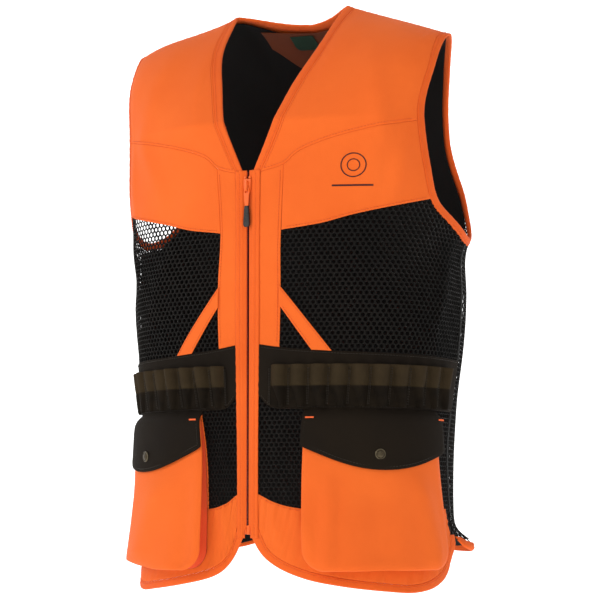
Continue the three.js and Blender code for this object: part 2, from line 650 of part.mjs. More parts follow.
// The pull leaf is a ring through the bridge with a blade below it, lying against the slider.
const PULL_PIVOT_Z = bridgeZ - 6.3;
const PULL_LENGTH = 20;
const flatPoints = (places) => places.map(([x, z]) => new THREE.Vector2(x, z));
const leafShape = new THREE.Shape(flatPoints([
  [-2.7, 2.2], [2.7, 2.2], [3.2, -6], [2.2, -PULL_LENGTH], [-2.2, -PULL_LENGTH], [-3.2, -6]]));
leafShape.holes.push(new THREE.Path(flatPoints([[-1.75, 0.75], [-1.75, -5], [1.75, -5], [1.75, 0.75]])));
const LEAF_THICKNESS = 1.2;
const leaf = new THREE.ExtrudeGeometry(leafShape, { depth: LEAF_THICKNESS, bevelEnabled: false, steps: 1 });
leaf.rotateX(Math.PI / 2);
leaf.translate(0, bridgeBack - 0.6, PULL_PIVOT_Z);
addPiece('zip_pull_leaf', weldedSolid(leaf), 'zip_metal');

// The rubber tab is moulded round the end of the leaf; here it starts just below the leaf's end.
const tabTop = PULL_PIVOT_Z - PULL_LENGTH - 0.4;
const TAB_LENGTH = 24;
const tabShape = new THREE.Shape(flatPoints([
  [-2.6, 0], [2.6, 0], [4, -TAB_LENGTH + 3], [3, -TAB_LENGTH], [-3, -TAB_LENGTH], [-4, -TAB_LENGTH + 3]]));
const tab = new THREE.ExtrudeGeometry(tabShape, { depth: 3, bevelEnabled: false, steps: 1 });
tab.rotateX(Math.PI / 2);
tab.translate(0, bridgeBack + 0.5, tabTop);
addPiece('zip_pull_tab', weldedSolid(tab), 'pull_rubber');

// ---- back ----------------------------------------------------------------------------------------
const otherSide = (line) => (t) => {
  const [around, down] = line(1 - t);
  return [2 * BACK_MIDDLE - around, down];
};
const backNeckEdge = smoothLine([shoulderPlace(NECK_HALF_WIDTH, true), [506, -21], [BACK_MIDDLE, -28]]);
const backNeckSeam = smoothLine([
  shoulderPlace(NECK_HALF_WIDTH + BINDING_WIDTH, true), [504, -32], [BACK_MIDDLE, -39]]);
const backShoulder = straightLine(armholeSeam(1), backNeckSeam(0));
const backTopHalf = chained(backShoulder, backNeckSeam, 0.6);
const backTop = chained(backTopHalf, otherSide(backTopHalf), 0.5);
const BACK_YOKE_CORNER = 388;
const yokeEndBack = armholePart(11, 8);
const acrossBack = (around, down) => straightLine([around, down], [2 * BACK_MIDDLE - around, down]);

addPiece('back_yoke', sheetSolid(panelGrid({
  lower: acrossBack(BACK_YOKE_CORNER, BACK_YOKE_SEAM),
  upper: backTop,
  start: (t) => yokeEndBack(1 - t),
  end: (t) => otherSide(yokeEndBack)(t),
}, 20, 9), 0, CLOTH), 'orange_cloth');

const backPanelTopHalf = chained(
  armholePart(6.77, 8),
  straightLine([BACK_YOKE_CORNER, BACK_YOKE_SEAM], [BACK_MIDDLE, BACK_YOKE_SEAM]), 0.4);
addPiece('back_panel', sheetSolid(panelGrid({
  lower: acrossBack(BACK_SIDE_SEAM, BACK_HEM + BINDING_WIDTH),
  upper: chained(backPanelTopHalf, otherSide(backPanelTopHalf), 0.5),
}, 24, 6), 0, CLOTH), 'black_net');

addPair('back_side_net', sheetSolid(panelGrid({
  lower: straightLine([SIDE_SEAM + 1, VENT_TOP], [BACK_SIDE_SEAM, VENT_TOP - 8]),
  upper: armholePart(5, 6.77),
}, 3, 7), 0, CLOTH), 'black_net');

// The lining covers the whole back inside, from the side seams up to the shoulders and round the facing.
const LINING_CORNER = [314, -600];
const LINING_SIDE = 298;
const liningSide = chained(
  straightLine(LINING_CORNER, [LINING_SIDE, -312]),
  smoothLine([
    [LINING_SIDE, -312], [332, -296], [366, -258], [401, -194], [413, -141], [409, -92], [414, -44]]), 0.5);
const liningTopHalf = smoothLine([
  [414, -44], [430, -26], [452, -24], [470, -34], [478, -58], [492, -82], [514, -94], [BACK_MIDDLE, -98]]);
addPiece('back_lining', sheetSolid(panelGrid({
  lower: acrossBack(...LINING_CORNER),
  upper: chained(liningTopHalf, otherSide(liningTopHalf), 0.5),
  start: liningSide,
  end: (t) => otherSide(liningSide)(1 - t),
}, 24, 14), -5, -2.5), 'dark_lining');

const fromBackMiddle = (places) => places.map(([around, down]) => [BACK_MIDDLE + around, down]);
addPiece('neck_facing', sheetSolid(panelGrid({
  lower: smoothLine(fromBackMiddle([[-58, -52], [-30, -74], [0, -80], [30, -74], [58, -52]])),
  upper: smoothLine(fromBackMiddle([[-58, -34], [0, -42], [58, -34]])),
}, 8, 3), -3.8, -2), 'facing_cloth');
addPiece('neck_label', sheetSolid(panelGrid({
  lower: straightLine([BACK_MIDDLE - 15, -62], [BACK_MIDDLE + 15, -62]),
  upper: straightLine([BACK_MIDDLE - 15, -42], [BACK_MIDDLE + 15, -42]),
}, 2, 2), -6, -4.8), 'label_cloth');
addPiece('size_tab', sheetSolid(panelGrid({
  lower: straightLine([BACK_MIDDLE - 28, -78], [BACK_MIDDLE - 5, -78]),
  upper: straightLine([BACK_MIDDLE - 28, -66], [BACK_MIDDLE - 5, -66]),
}, 2, 1), -8.6, -7.4), 'dark_lining');

// The game pouch stands off the back like a shallow bag, open along its top edge.
const POUCH_BULGE = 22;
const pouchEnd = BACK_HEM + BINDING_WIDTH + 6;
function pouchLift([around, down]) {
  const sideways = Math.abs(around - BACK_MIDDLE) / POUCH_HALF_WIDTH;
  const upward = (down - pouchEnd) / (POUCH_TOP - pouchEnd);
  const swell = Math.sqrt(Math.max(1 - sideways ** 4, 0)) * Math.min(1, Math.sqrt(upward) * 1.3);
  return CLOTH + 1 + POUCH_BULGE * swell;
}
addPiece('game_pouch', sheetSolid(panelGrid({
  lower: acrossBack(BACK_MIDDLE - POUCH_HALF_WIDTH, pouchEnd),
  upper: acrossBack(BACK_MIDDLE - POUCH_HALF_WIDTH, POUCH_TOP),
}, 14, 5), pouchLift, (place) => pouchLift(place) + CLOTH), 'orange_cloth');
addPiece('pouch_binding', sheetSolid(panelGrid({
  lower: acrossBack(BACK_MIDDLE - POUCH_HALF_WIDTH, POUCH_TOP + 1),
  upper: acrossBack(BACK_MIDDLE - POUCH_HALF_WIDTH, POUCH_TOP + 10),
}, 14, 1, 0), pouchLift, (place) => pouchLift(place) + BINDING_THICKNESS), 'olive_cloth');

// ---- bindings ---------------------------------------------------------------------------------------
function bindingGrid(edge, seam, sections, from = 0, to = 1) {
  const grid = [];
  for (let i = 0; i <= sections; i += 1) {
    const t = from + ((to - from) * i) / sections;
    const [edgePlace, seamPlace] = [edge(t), seam(t)];
    grid.push([edgePlace, straightLine(edgePlace, seamPlace)(0.93)]);
  }
  return grid;
}

const flipped = ([around, down]) => [-around, down];
const leftNeck = bindingGrid(neckEdge, neckSeam, 12, 0.01, 0.985);
const backNeckHalf = bindingGrid(backNeckEdge, backNeckSeam, 6, 0.03, 1);
const otherBackHalf = backNeckHalf.slice(0, -1).map((row) => row.map(([a, d]) => [2 * BACK_MIDDLE - a, d]));
const neckRows = [
  ...leftNeck.slice().reverse(),
  ...backNeckHalf,
  ...otherBackHalf.slice().reverse(),
  ...leftNeck.map((row) => row.map(flipped))];
addPiece('neck_binding', sheetSolid(neckRows, -0.5, BINDING_THICKNESS - 0.5), 'orange_binding');

addPair('armhole_binding', sheetSolid(
  bindingGrid(armholeEdge, armholeSeam, 30, 0.004, 0.996), -0.5, BINDING_THICKNESS - 0.5), 'orange_binding');

addPair('front_hem_binding', sheetSolid(
  bindingGrid(hemEdge, hemSeam, 24, 0, 0.99), -0.5, BINDING_THICKNESS - 0.5), 'orange_binding');

const BACK_HEM_CORNER = BACK_SIDE_SEAM + 20;
function backHemLine(corner, height) {
  return chained(
    smoothLine([...corner, [BACK_HEM_CORNER, height]]),
    straightLine([BACK_HEM_CORNER, height], [BACK_MIDDLE, height]), 0.4);
}
const backHemEdge = backHemLine(
  [[SIDE_SEAM + 2, VENT_TOP - 2], [SIDE_SEAM + 9, BACK_HEM + 4], [SIDE_SEAM + 26, BACK_HEM - 2]], BACK_HEM);
const backHemSeam = backHemLine(
  [[SIDE_SEAM + 10, VENT_TOP - 3], [SIDE_SEAM + 16, BACK_HEM + 10], [SIDE_SEAM + 30, BACK_HEM + 7.5]],
  BACK_HEM + 8.6);
const backHemHalf = bindingGrid(backHemEdge, backHemSeam, 14);
const otherHemHalf = backHemHalf.slice(0, -1).map((row) => row.map(([a, d]) => [2 * BACK_MIDDLE - a, d]));
addPiece('back_hem_binding', sheetSolid(
  [...backHemHalf, ...otherHemHalf.slice().reverse()], -0.5, BINDING_THICKNESS - 0.5), 'orange_binding');

export default vest;
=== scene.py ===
"""Looks of a blaze orange field vest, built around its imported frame.

The vest's surface is a smooth upright form. A place on it is [around, down] in millimetres. Around is
measured from the zip line along the waist, positive towards the wearer's left. Down is the height, zero at
the shoulder seams. Every piece is drawn on that chart and then lifted off the surface by its own height.
"""
import math

import bpy
import numpy as np
from mathutils import Matrix, Vector


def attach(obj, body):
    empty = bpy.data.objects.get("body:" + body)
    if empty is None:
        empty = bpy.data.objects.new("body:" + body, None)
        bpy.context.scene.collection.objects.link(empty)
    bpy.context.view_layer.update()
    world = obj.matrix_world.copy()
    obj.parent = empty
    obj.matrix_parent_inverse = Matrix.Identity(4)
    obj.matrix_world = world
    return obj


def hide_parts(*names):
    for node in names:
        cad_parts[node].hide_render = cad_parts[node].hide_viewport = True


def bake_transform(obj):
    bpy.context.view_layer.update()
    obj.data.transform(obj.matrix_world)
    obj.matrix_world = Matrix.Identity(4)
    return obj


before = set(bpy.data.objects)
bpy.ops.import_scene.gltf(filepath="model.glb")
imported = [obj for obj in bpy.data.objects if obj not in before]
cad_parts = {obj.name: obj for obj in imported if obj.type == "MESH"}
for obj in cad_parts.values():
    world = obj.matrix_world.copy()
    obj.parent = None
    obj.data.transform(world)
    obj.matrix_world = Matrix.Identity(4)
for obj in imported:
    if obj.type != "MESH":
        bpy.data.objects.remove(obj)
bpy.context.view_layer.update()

# ---- sizes shared with the part, in millimetres ----
ROUNDNESS = 2.45  # exponent of the superellipse that a cross-section of the body follows
WAIST_HALF_WIDTH = 198
FRONT_DEPTH = 139
BACK_DEPTH = 122
CHEST_LEVEL = -150
SHOULDER_Y = -22
NECK_HALF_WIDTH = 72
SHOULDER_HALF_WIDTH = 197
SHOULDER_SLOPE = 0.375
CHEST_HOLLOW = 0.7
HALF_WIDTH_BY_HEIGHT = [
    [-700, 190], [-540, 181], [-400, 195], [-345, 199], [-300, 198], [-250, 204], [-200, 209], [0, 206]]
BACK_DEPTH_BY_HEIGHT = [[-700, 124], [-480, 118], [-300, 130], [-150, 130], [0, 124]]
CLOTH = 3
BINDING_WIDTH = 9
ZIP_TOP = -211
ZIP_BOTTOM = -624
PLACKET_EDGE = 40
BELT_BOTTOM = -480
SIDE_SEAM = 290
LOOP_COUNT = 10
LOOP_PITCH = 23.4
FIRST_LOOP = 42
LOOP_TOP = -430
LOOP_BOTTOM = -478
POCKET_INNER = 75
POCKET_OUTER = 247
POCKET_TOP = -489
POCKET_BOTTOM = -661
POCKET_CORNER = 24
POCKET_LIFT_TOP = 6.5
POCKET_LIFT_BOTTOM = 20
FLAP_TOP = -485
FLAP_SIDE = -523
FLAP_TIP = -549
SNAP_HEIGHT = -531
VENT_TOP = -622
BACK_HEM = -640
BACK_YOKE_SEAM = -190
BACK_SIDE_SEAM = 345
POUCH_TOP = -440
POUCH_HALF_WIDTH = 165
POUCH_BULGE = 22

# ---- finishing sizes, in millimetres ----
GRID_STEP = 3.2  # spacing of a panel's points
EDGE_ROUND = 1.3  # radius of a folded cloth edge
STITCH_LENGTH = 2.7
STITCH_PITCH = 3.5
STITCH_RADIUS = 0.36
NET_PITCH = 6.6
NET_ROW = 5.0
NET_LIFT = 1.5
NET_STRAND = 0.7  # half the net's thickness
SIDES = ((1, "left"), (-1, "right"))
PANEL_HEIGHTS = (0.9, 2.6)  # inner and outer face of a sewn panel, above the body surface
STITCH_LIFT = 2.75  # height of the topstitching on such a panel
BINDING_THICKNESS = 3.6
BINDING_BASE = -0.3
BINDING_STITCHED = 0.74  # where a binding's stitches run, as a share of the way from its edge to its seam

# ---- how the worn vest differs from the cut one, in millimetres ----
# The cloth of the wearer's right side has slid a little towards the zip: [height, distance].
SWAY_BY_HEIGHT = [
    [-700, 21], [-600, 21], [-531, 17], [-485, 11], [-415, 5],
    [-330, 4], [-270, 11], [-200, 8], [-140, 0], [0, 0]]
BACK_HEM_RISE = 25  # how much higher the back hem hangs
RIGHT_ARMHOLE_RISE = 22  # the same for the lowest part of the wearer's right armhole
RIGHT_SHOULDER_RISE = 7.0
SHOULDER_SPREAD = 6.0  # how much further out both shoulders are

# ---- the body surface ----


def value_at(table, height):
    """Smooth reading of a [height, value] table."""
    heights, values = np.array(table, float).T
    slopes = np.empty(len(values))
    slopes[1:-1] = (values[2:] - values[:-2]) / (heights[2:] - heights[:-2])
    slopes[0] = (values[1] - values[0]) / (heights[1] - heights[0])
    slopes[-1] = (values[-1] - values[-2]) / (heights[-1] - heights[-2])
    height = np.clip(height, heights[0], heights[-1])
    i = np.clip(np.searchsorted(heights, height, side="right") - 1, 0, len(heights) - 2)
    span = heights[i + 1] - heights[i]
    t = (height - heights[i]) / span
    return ((2 * t**3 - 3 * t**2 + 1) * values[i] + (t**3 - 2 * t**2 + t) * span * slopes[i]
            + (3 * t**2 - 2 * t**3) * values[i + 1] + (t**3 - t**2) * span * slopes[i + 1])


def round_section(angle):
    """Unit superellipse: [sideways, backward] at an angle measured from the front."""
    power = 2 / ROUNDNESS
    sine, cosine = np.sin(angle), np.cos(angle)
    return np.sign(sine) * np.abs(sine) ** power, -np.sign(cosine) * np.abs(cosine) ** power


ANGLES = np.linspace(0, np.pi, 4001)
waist_side, waist_back = round_section(ANGLES)
waist = np.stack([
    WAIST_HALF_WIDTH * waist_side, np.where(waist_back < 0, FRONT_DEPTH, BACK_DEPTH) * waist_back], 1)
ARC = np.concatenate([[0], np.cumsum(np.linalg.norm(np.diff(waist, axis=0), axis=1))])
BACK_MIDDLE = ARC[-1]  # half the way round the waist


def eased_step(value):
    """0 up to 0 and 1 from 1 on, with a smooth rise between."""
    value = np.clip(value, 0, 1)
    return value * value * (3 - 2 * value)


def surface(around, down):
    """Points of the body surface, in millimetres, as the vest is worn."""
    around, down = np.broadcast_arrays(np.asarray(around, float), np.asarray(down, float))
    around = (around + BACK_MIDDLE) % (2 * BACK_MIDDLE) - BACK_MIDDLE
    swayed = eased_step(-around / 75) * (1 - eased_step((-around - 250) / 150))
    around = around + swayed * value_at(SWAY_BY_HEIGHT, down)
    side, back = round_section(np.sign(around) * np.interp(np.abs(around), ARC, ANGLES))
    x = value_at(HALF_WIDTH_BY_HEIGHT, down) * side
    in_front = back < 0
    upright_y = np.where(in_front, FRONT_DEPTH, value_at(BACK_DEPTH_BY_HEIGHT, down)) * back
    rise = np.clip((down - CHEST_LEVEL) / -CHEST_LEVEL, 0, 1)
    turn = rise * np.pi / 2
    hollow = CHEST_HOLLOW * np.clip((180 - np.abs(x)) / (180 - NECK_HALF_WIDTH), 0, 1)
    hollow = np.where(in_front, hollow, 0)
    inward = (1 - hollow) * np.cos(turn) + hollow * (1 - rise)
    upward = (1 - hollow) * np.sin(turn) + hollow * rise
    seam_z = -SHOULDER_SLOPE * np.maximum(np.abs(x) - NECK_HALF_WIDTH, 0)
    y = np.where(down <= CHEST_LEVEL, upright_y, SHOULDER_Y + (upright_y - SHOULDER_Y) * inward)
    z = np.where(down <= CHEST_LEVEL, down, CHEST_LEVEL + (seam_z - CHEST_LEVEL) * upward)
    z = z + BACK_HEM_RISE * eased_step((np.abs(around) - 385) / 110) * eased_step((-540 - down) / 85)
    beneath_arm = np.clip(1 - ((around + 322) / 85) ** 2, 0, 1) * np.clip(1 - ((down + 268) / 80) ** 2, 0, 1)
    z = z + RIGHT_ARMHOLE_RISE * beneath_arm**2
    shoulder = eased_step((np.abs(x) - 80) / 90)
    z = z + np.where(x < 0, RIGHT_SHOULDER_RISE, 0.0) * shoulder * eased_step(rise)
    x = x + np.sign(x) * SHOULDER_SPREAD * shoulder * eased_step(rise * 2.2)
    return np.stack([x, y, z], -1)


def unit(vectors):
    return vectors / np.maximum(np.linalg.norm(vectors, axis=-1, keepdims=True), 1e-9)


def outward(around, down, step=0.6):
    """Unit vectors pointing out of the body surface."""
    across = surface(around + step, down) - surface(around - step, down)
    up = surface(around, np.minimum(down + step, 0)) - surface(around, down - step)
    return unit(np.cross(across, up))


# Soft folds of the worn cloth: [around, down] of both ends, half-width and height. They fade out to the ends.
FOLDS = np.array([
    [150, -120, 135, -240, 13, 2.6], [118, -60, 170, -215, 12, 1.8], [178, -170, 158, -262, 9, 2.4],
    [90, -30, 60, -150, 14, 1.6], [-82, -40, -66, -165, 15, 2.2], [-120, -50, -160, -190, 17, 2.6],
    [-155, -150, -125, -235, 12, 2.2], [-178, -160, -185, -250, 9, 2.4], [-70, -215, -110, -262, 11, 1.4],
    [235, -262, 150, -330, 13, 3.0], [262, -280, 225, -400, 12, 3.2], [120, -285, 200, -390, 16, 2.0],
    [-235, -262, -160, -340, 13, 3.0], [-255, -290, -215, -395, 11, 2.6], [-110, -290, -160, -385, 14, 2.0],
    [70, -262, 95, -330, 9, 1.4], [52, -485, 30, -560, 8, 1.8], [-52, -490, -28, -575, 9, 2.6],
    [-62, -560, -34, -640, 12, 3.2], [58, -575, 90, -650, 11, 2.4], [24, -575, 44, -640, 9, 1.6],
    [330, -300, 380, -420, 15, 2.6], [345, -440, 330, -600, 14, 2.4], [-335, -300, -385, -430, 15, 2.6],
    [420, -60, 470, -180, 18, 2.4], [-430, -60, -480, -180, 16, 2.6], [520, -90, 545, -200, 20, 1.8],
    [430, -230, 500, -400, 22, 2.6], [-440, -230, -500, -390, 20, 2.8], [540, -240, 530, -420, 18, 2.0],
])
# Where an edge stands away by itself: [around, down, half-width, half-height, height].
BULGES = [[288, -262, 42, 24, 9], [318, -636, 26, 16, 21]]


def drape(around, down):
    """How far the worn cloth stands off the body surface in its soft folds."""
    around = (np.asarray(around, float) + BACK_MIDDLE) % (2 * BACK_MIDDLE) - BACK_MIDDLE
    lift = np.zeros(np.broadcast(around, down).shape)
    for a0, d0, a1, d1, half_width, height in FOLDS:
        run = np.array([a1 - a0, d1 - d0])
        along = ((around - a0) * run[0] + (down - d0) * run[1]) / (run @ run)
        off = ((around - a0) * run[1] - (down - d0) * run[0]) / math.sqrt(run @ run)
        past = np.maximum(np.maximum(-along, along - 1), 0) * math.sqrt(run @ run)
        fade = np.exp(-(past / 22) ** 2) * np.sin(np.pi * np.clip(along * 0.8 + 0.1, 0, 1))
        lift = lift + height * fade * np.exp(-((off / half_width) ** 2))
    for a0, d0, wide, high, height in BULGES:
        lift = lift + height * np.exp(-(((around - a0) / wide) ** 2) - ((down - d0) / high) ** 2)
    slow = 0.7 * np.sin(around / 31 + down / 47) + 0.5 * np.sin(around / 19 - down / 26 + 1.3)
    near_zip = np.clip((np.abs(around) - 13) / 22, 0, 1)
    return (lift + slow) * near_zip * np.clip(-down / 30, 0, 1)


# ---- lines and grids on the chart ----


def spline(places, first=0, last=None, count=240):
    """Points along a centripetal Catmull-Rom line, from one of its places to another."""
    p = np.array(places, float)
    last = len(p) - 1 if last is None else last
    s = np.linspace(first, last, count)
    i = np.clip(np.floor(s).astype(int), 0, len(p) - 2)
    w = (s - i)[:, None]
    p = np.vstack([2 * p[0] - p[1], p, 2 * p[-1] - p[-2]])
    p0, p1, p2, p3 = p[i], p[i + 1], p[i + 2], p[i + 3]
    d0, d1, d2 = (np.sqrt(np.linalg.norm(b - a, axis=1))[:, None] for a, b in ((p0, p1), (p1, p2), (p2, p3)))
    leave = ((p1 - p0) / d0 - (p2 - p0) / (d0 + d1) + (p2 - p1) / d1) * d1
    arrive = ((p2 - p1) / d1 - (p3 - p1) / (d1 + d2) + (p3 - p2) / d2) * d1
    return (p1 * (2 * w**3 - 3 * w**2 + 1) + leave * (w**3 - 2 * w**2 + w)
            + p2 * (3 * w**2 - 2 * w**3) + arrive * (w**3 - w**2))


def straight(start, end):
    return np.linspace(start, end, 60)


def joined(*lines):
    return np.concatenate(lines)


def length_of(line):
    return float(np.linalg.norm(np.diff(line, axis=0), axis=1).sum())


def at_shares(line, shares):
    """Places at the given shares of a line's length."""
    steps = np.linalg.norm(np.diff(line, axis=0), axis=1)
    travelled = np.concatenate([[0], np.cumsum(steps)])
    return np.stack([np.interp(shares * travelled[-1], travelled, line[:, k]) for k in (0, 1)], -1)


def beside(line, distance):
    """The line moved sideways on the chart, to the left of the way it runs."""
    along = unit(np.gradient(line, axis=0))
    return line + distance * np.stack([-along[:, 1], along[:, 0]], -1)


def edge_shares(length, step=GRID_STEP):
    """Shares of a length for a grid's points: even in the middle, close together at both rounded edges."""
    rim = np.array([0, 0.12, 0.45, 1.0]) * EDGE_ROUND / length
    inner = np.linspace(rim[-1], 1 - rim[-1], max(3, round(length / step) + 1))
    return np.concatenate([rim[:-1], inner, 1 - rim[-2::-1]])


def panel(lower, upper, start=None, end=None, step=GRID_STEP):
    """Grid of places that fills four lines; start and end are straight where they aren't given."""
    start = straight(lower[0], upper[0]) if start is None else start
    end = straight(lower[-1], upper[-1]) if end is None else end
    s = edge_shares(max(length_of(lower), length_of(upper)), step)
    t = edge_shares(max(length_of(start), length_of(end)), step)
    low, high, left, right = (
        at_shares(line, shares) for line, shares in ((lower, s), (upper, s), (start, t), (end, t)))
    s, t = s[:, None, None], t[None, :, None]
    corners = ((1 - s) * (1 - t) * low[0] + s * (1 - t) * low[-1] + (1 - s) * t * high[0] + s * t * high[-1])
    return ((1 - t) * low[:, None] + t * high[:, None] + (1 - s) * left[None] + s * right[None] - corners)


def sided(grid, side):
    """A left-hand grid as it is, or its mirror image on the wearer's right."""
    return grid if side > 0 else grid[::-1] * [-1, 1]


def flipped(line, side):
    return line * [side, 1]


def border_distance(grid):
    """How far each point of a grid lies from the grid's border, in millimetres."""
    across = np.linalg.norm(np.diff(grid, axis=0), axis=-1)
    up = np.linalg.norm(np.diff(grid, axis=1), axis=-1)
    from_start = np.pad(np.cumsum(across, 0), ((1, 0), (0, 0)))
    from_lower = np.pad(np.cumsum(up, 1), ((0, 0), (1, 0)))
    return np.minimum(np.minimum(from_start, from_start[-1:] - from_start),
                      np.minimum(from_lower, from_lower[:, -1:] - from_lower))


def ripple(length, seed):
    """An uneven wave along a seam, between about -1 and 1."""
    return (np.sin(length * 0.83 + seed) + 0.7 * np.sin(length * 0.47 + 2.1 * seed + 1)
            + 0.5 * np.sin(length * 1.31 + 0.7 * seed + 2)) / 2.2


def seam_puckers(grid, depth=0.7, reach=16, seed=0.0):
    """Relief of a panel that is drawn up a little along its lower and upper seams."""
    up = np.linalg.norm(np.diff(grid, axis=1), axis=-1)
    from_lower = np.pad(np.cumsum(up, 1), ((0, 0), (1, 0)))
    from_upper = from_lower[:, -1:] - from_lower
    along = np.pad(np.cumsum(np.linalg.norm(np.diff(grid, axis=0), axis=-1), 0), ((1, 0), (0, 0)))
    low = ripple(along, seed) * np.exp(-from_lower / reach) * np.clip(from_lower / 3, 0, 1)
    high = ripple(along * 0.9, seed + 3) * np.exp(-from_upper / reach) * np.clip(from_upper / 3, 0, 1)
    return depth * (low + high)


# ---- meshes ----


def signed_volume(mesh):
    """Volume inside a closed mesh; negative where its faces look inwards."""
    mesh.calc_loop_triangles()
    points = np.zeros(3 * len(mesh.vertices), np.float32)
    mesh.vertices.foreach_get("co", points)
    corners = np.zeros(3 * len(mesh.loop_triangles), np.int32)
    mesh.loop_triangles.foreach_get("vertices", corners)
    a, b, c = (points.reshape(-1, 3)[corners.reshape(-1, 3)[:, k]].astype(float) for k in range(3))
    return float((a * np.cross(b, c)).sum())


def new_object(name, points, faces, uv=None):
    """A mesh from points in millimetres and arrays of faces with equally many corners each."""
    faces = [np.asarray(f, np.int32) for f in faces if len(f)]
    corners = np.concatenate([f.ravel() for f in faces])
    sizes = np.concatenate([np.full(len(f), f.shape[1], np.int32) for f in faces])
    mesh = bpy.data.meshes.new(name)
    mesh.vertices.add(len(points))
    mesh.vertices.foreach_set("co", (np.asarray(points, np.float32) / 1000).ravel())
    mesh.loops.add(len(corners))
    mesh.loops.foreach_set("vertex_index", corners)
    mesh.polygons.add(len(sizes))
    mesh.polygons.foreach_set("loop_start", np.concatenate([[0], np.cumsum(sizes)[:-1]]).astype(np.int32))
    mesh.polygons.foreach_set("use_smooth", np.full(len(sizes), True))
    mesh.update(calc_edges=True)
    if uv is not None:
        layer = mesh.uv_layers.new(name="cloth")
        layer.data.foreach_set("uv", (np.asarray(uv, np.float32)[corners] / 1000).ravel())
    mesh.validate()
    if signed_volume(mesh) < 0:
        mesh.flip_normals()
    piece = bpy.data.objects.new(name, mesh)
    bpy.context.scene.collection.objects.link(piece)
    return piece


def finished(piece, material, body="root", nodes=()):
    """Gives a piece its material, the body it rides on, and the CAD nodes that it stands for.

    A piece given no body is attached to none.
    """
    piece.data.materials.clear()
    piece.data.materials.append(material)
    if body is not None:
        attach(piece, body)
    if nodes:
        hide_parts(*nodes)
    return piece


def grid_faces(front, back=None):
    """Quads over a grid of point numbers, facing outwards; the back grid's face the other way."""
    def quads(n):
        return np.stack([n[:-1, :-1], n[1:, :-1], n[1:, 1:], n[:-1, 1:]], -1).reshape(-1, 4)
    return quads(front) if back is None else np.concatenate([quads(front), quads(back)[:, ::-1]])


def rolled(name, rings, uv=None):
    """A closed skin over a row of rings of points, capped at both ends."""
    number = np.arange(rings.shape[0] * rings.shape[1]).reshape(rings.shape[:2])
    wrapped = np.concatenate([number, number[:, :1]], 1)
    return new_object(name, rings.reshape(-1, 3), [grid_faces(wrapped), number[:1], number[-1:, ::-1]], uv)


def shell(name, middle, normal, half, places):
    """A thin closed sheet about a grid of middle points; its two faces meet along the border."""
    across, up = middle.shape[:2]
    front = np.arange(across * up).reshape(across, up)
    back = front.copy()
    inside = (across - 2) * (up - 2)
    back[1:-1, 1:-1] = across * up + np.arange(inside).reshape(across - 2, up - 2)
    half = np.broadcast_to(half, middle.shape[:2]).copy()
    half[[0, -1], :] = 0
    half[:, [0, -1]] = 0
    outer = middle + normal * half[..., None]
    inner = (middle - normal * half[..., None])[1:-1, 1:-1]
    points = np.concatenate([outer.reshape(-1, 3), inner.reshape(-1, 3)])
    uv = np.concatenate([places.reshape(-1, 2), places[1:-1, 1:-1].reshape(-1, 2)])
    return new_object(name, points, [grid_faces(front, back)], uv)


def grid_normals(points):
    """Unit normals of a grid of points, outwards where the grid runs across and then up."""
    return unit(np.cross(np.gradient(points, axis=0), np.gradient(points, axis=1)))


def cloth(name, grid, inner, outer, relief=0.0, folds=1.0):
    """A sewn panel over a grid of places, between two heights above the body surface."""
    around, down = grid[..., 0], grid[..., 1]
    rim = np.clip(border_distance(grid) / EDGE_ROUND, 0, 1)
    half = (outer - inner) / 2 * np.sqrt(1 - (1 - rim) ** 2)
    normal = outward(around, down)
    lift = (inner + outer) / 2 + folds * drape(around, down) + relief
    middle = surface(around, down) + normal * lift[..., None]
    return shell(name, middle, grid_normals(middle), half, grid)


def cut_area(area, width, length):
    """The area, kept between 0.3 and 1 of the flat cut's rectangle."""
    return float(np.clip(area, 0.3 * width * length, width * length))


def flat_size(grid):
    """Width, length and area of the flat cut, in metres: the vest's surface under it, without its folds."""
    worn = surface(grid[..., 0], grid[..., 1])
    width = max(length_of(worn[:, j]) for j in (0, worn.shape[1] // 2, -1))
    length = max(length_of(worn[i]) for i in (0, worn.shape[0] // 2, -1))
    diagonals = worn[1:, 1:] - worn[:-1, :-1], worn[:-1, 1:] - worn[1:, :-1]
    area = np.linalg.norm(np.cross(*diagonals), axis=-1).sum() / 2
    width, length = max(width, 10.0), max(length, 10.0)
    return (width / 1000, length / 1000), cut_area(area, width, length) / 1e6


def declare(grid):
    """Works out the flat size of a piece's cut; the result is not used."""
    flat, area = flat_size(grid)


def sewn_panel(name, grid, material, node=None, heights=PANEL_HEIGHTS, relief=0.0, folds=1.0):
    """A panel that stays with the vest's own body."""
    piece = cloth(name, grid, *heights, relief, folds)
    finished(piece, material, nodes=[node] if node else [])
    declare(grid)


def lifted(line, lift):
    """Points above a line of places, with the cloth's folds."""
    line = np.asarray(line, float)
    around, down = line[..., 0], line[..., 1]
    height = lift + drape(around, down)
    return surface(around, down) + outward(around, down) * np.asarray(height)[..., None]


def eased(rows, reach=2):
    """Rows of vectors, each averaged with its neighbours along the first axis."""
    padded = np.pad(rows, [(reach, reach)] + [(0, 0)] * (rows.ndim - 1), mode="edge")
    return sum(padded[k:k + len(rows)] for k in range(2 * reach + 1)) / (2 * reach + 1)


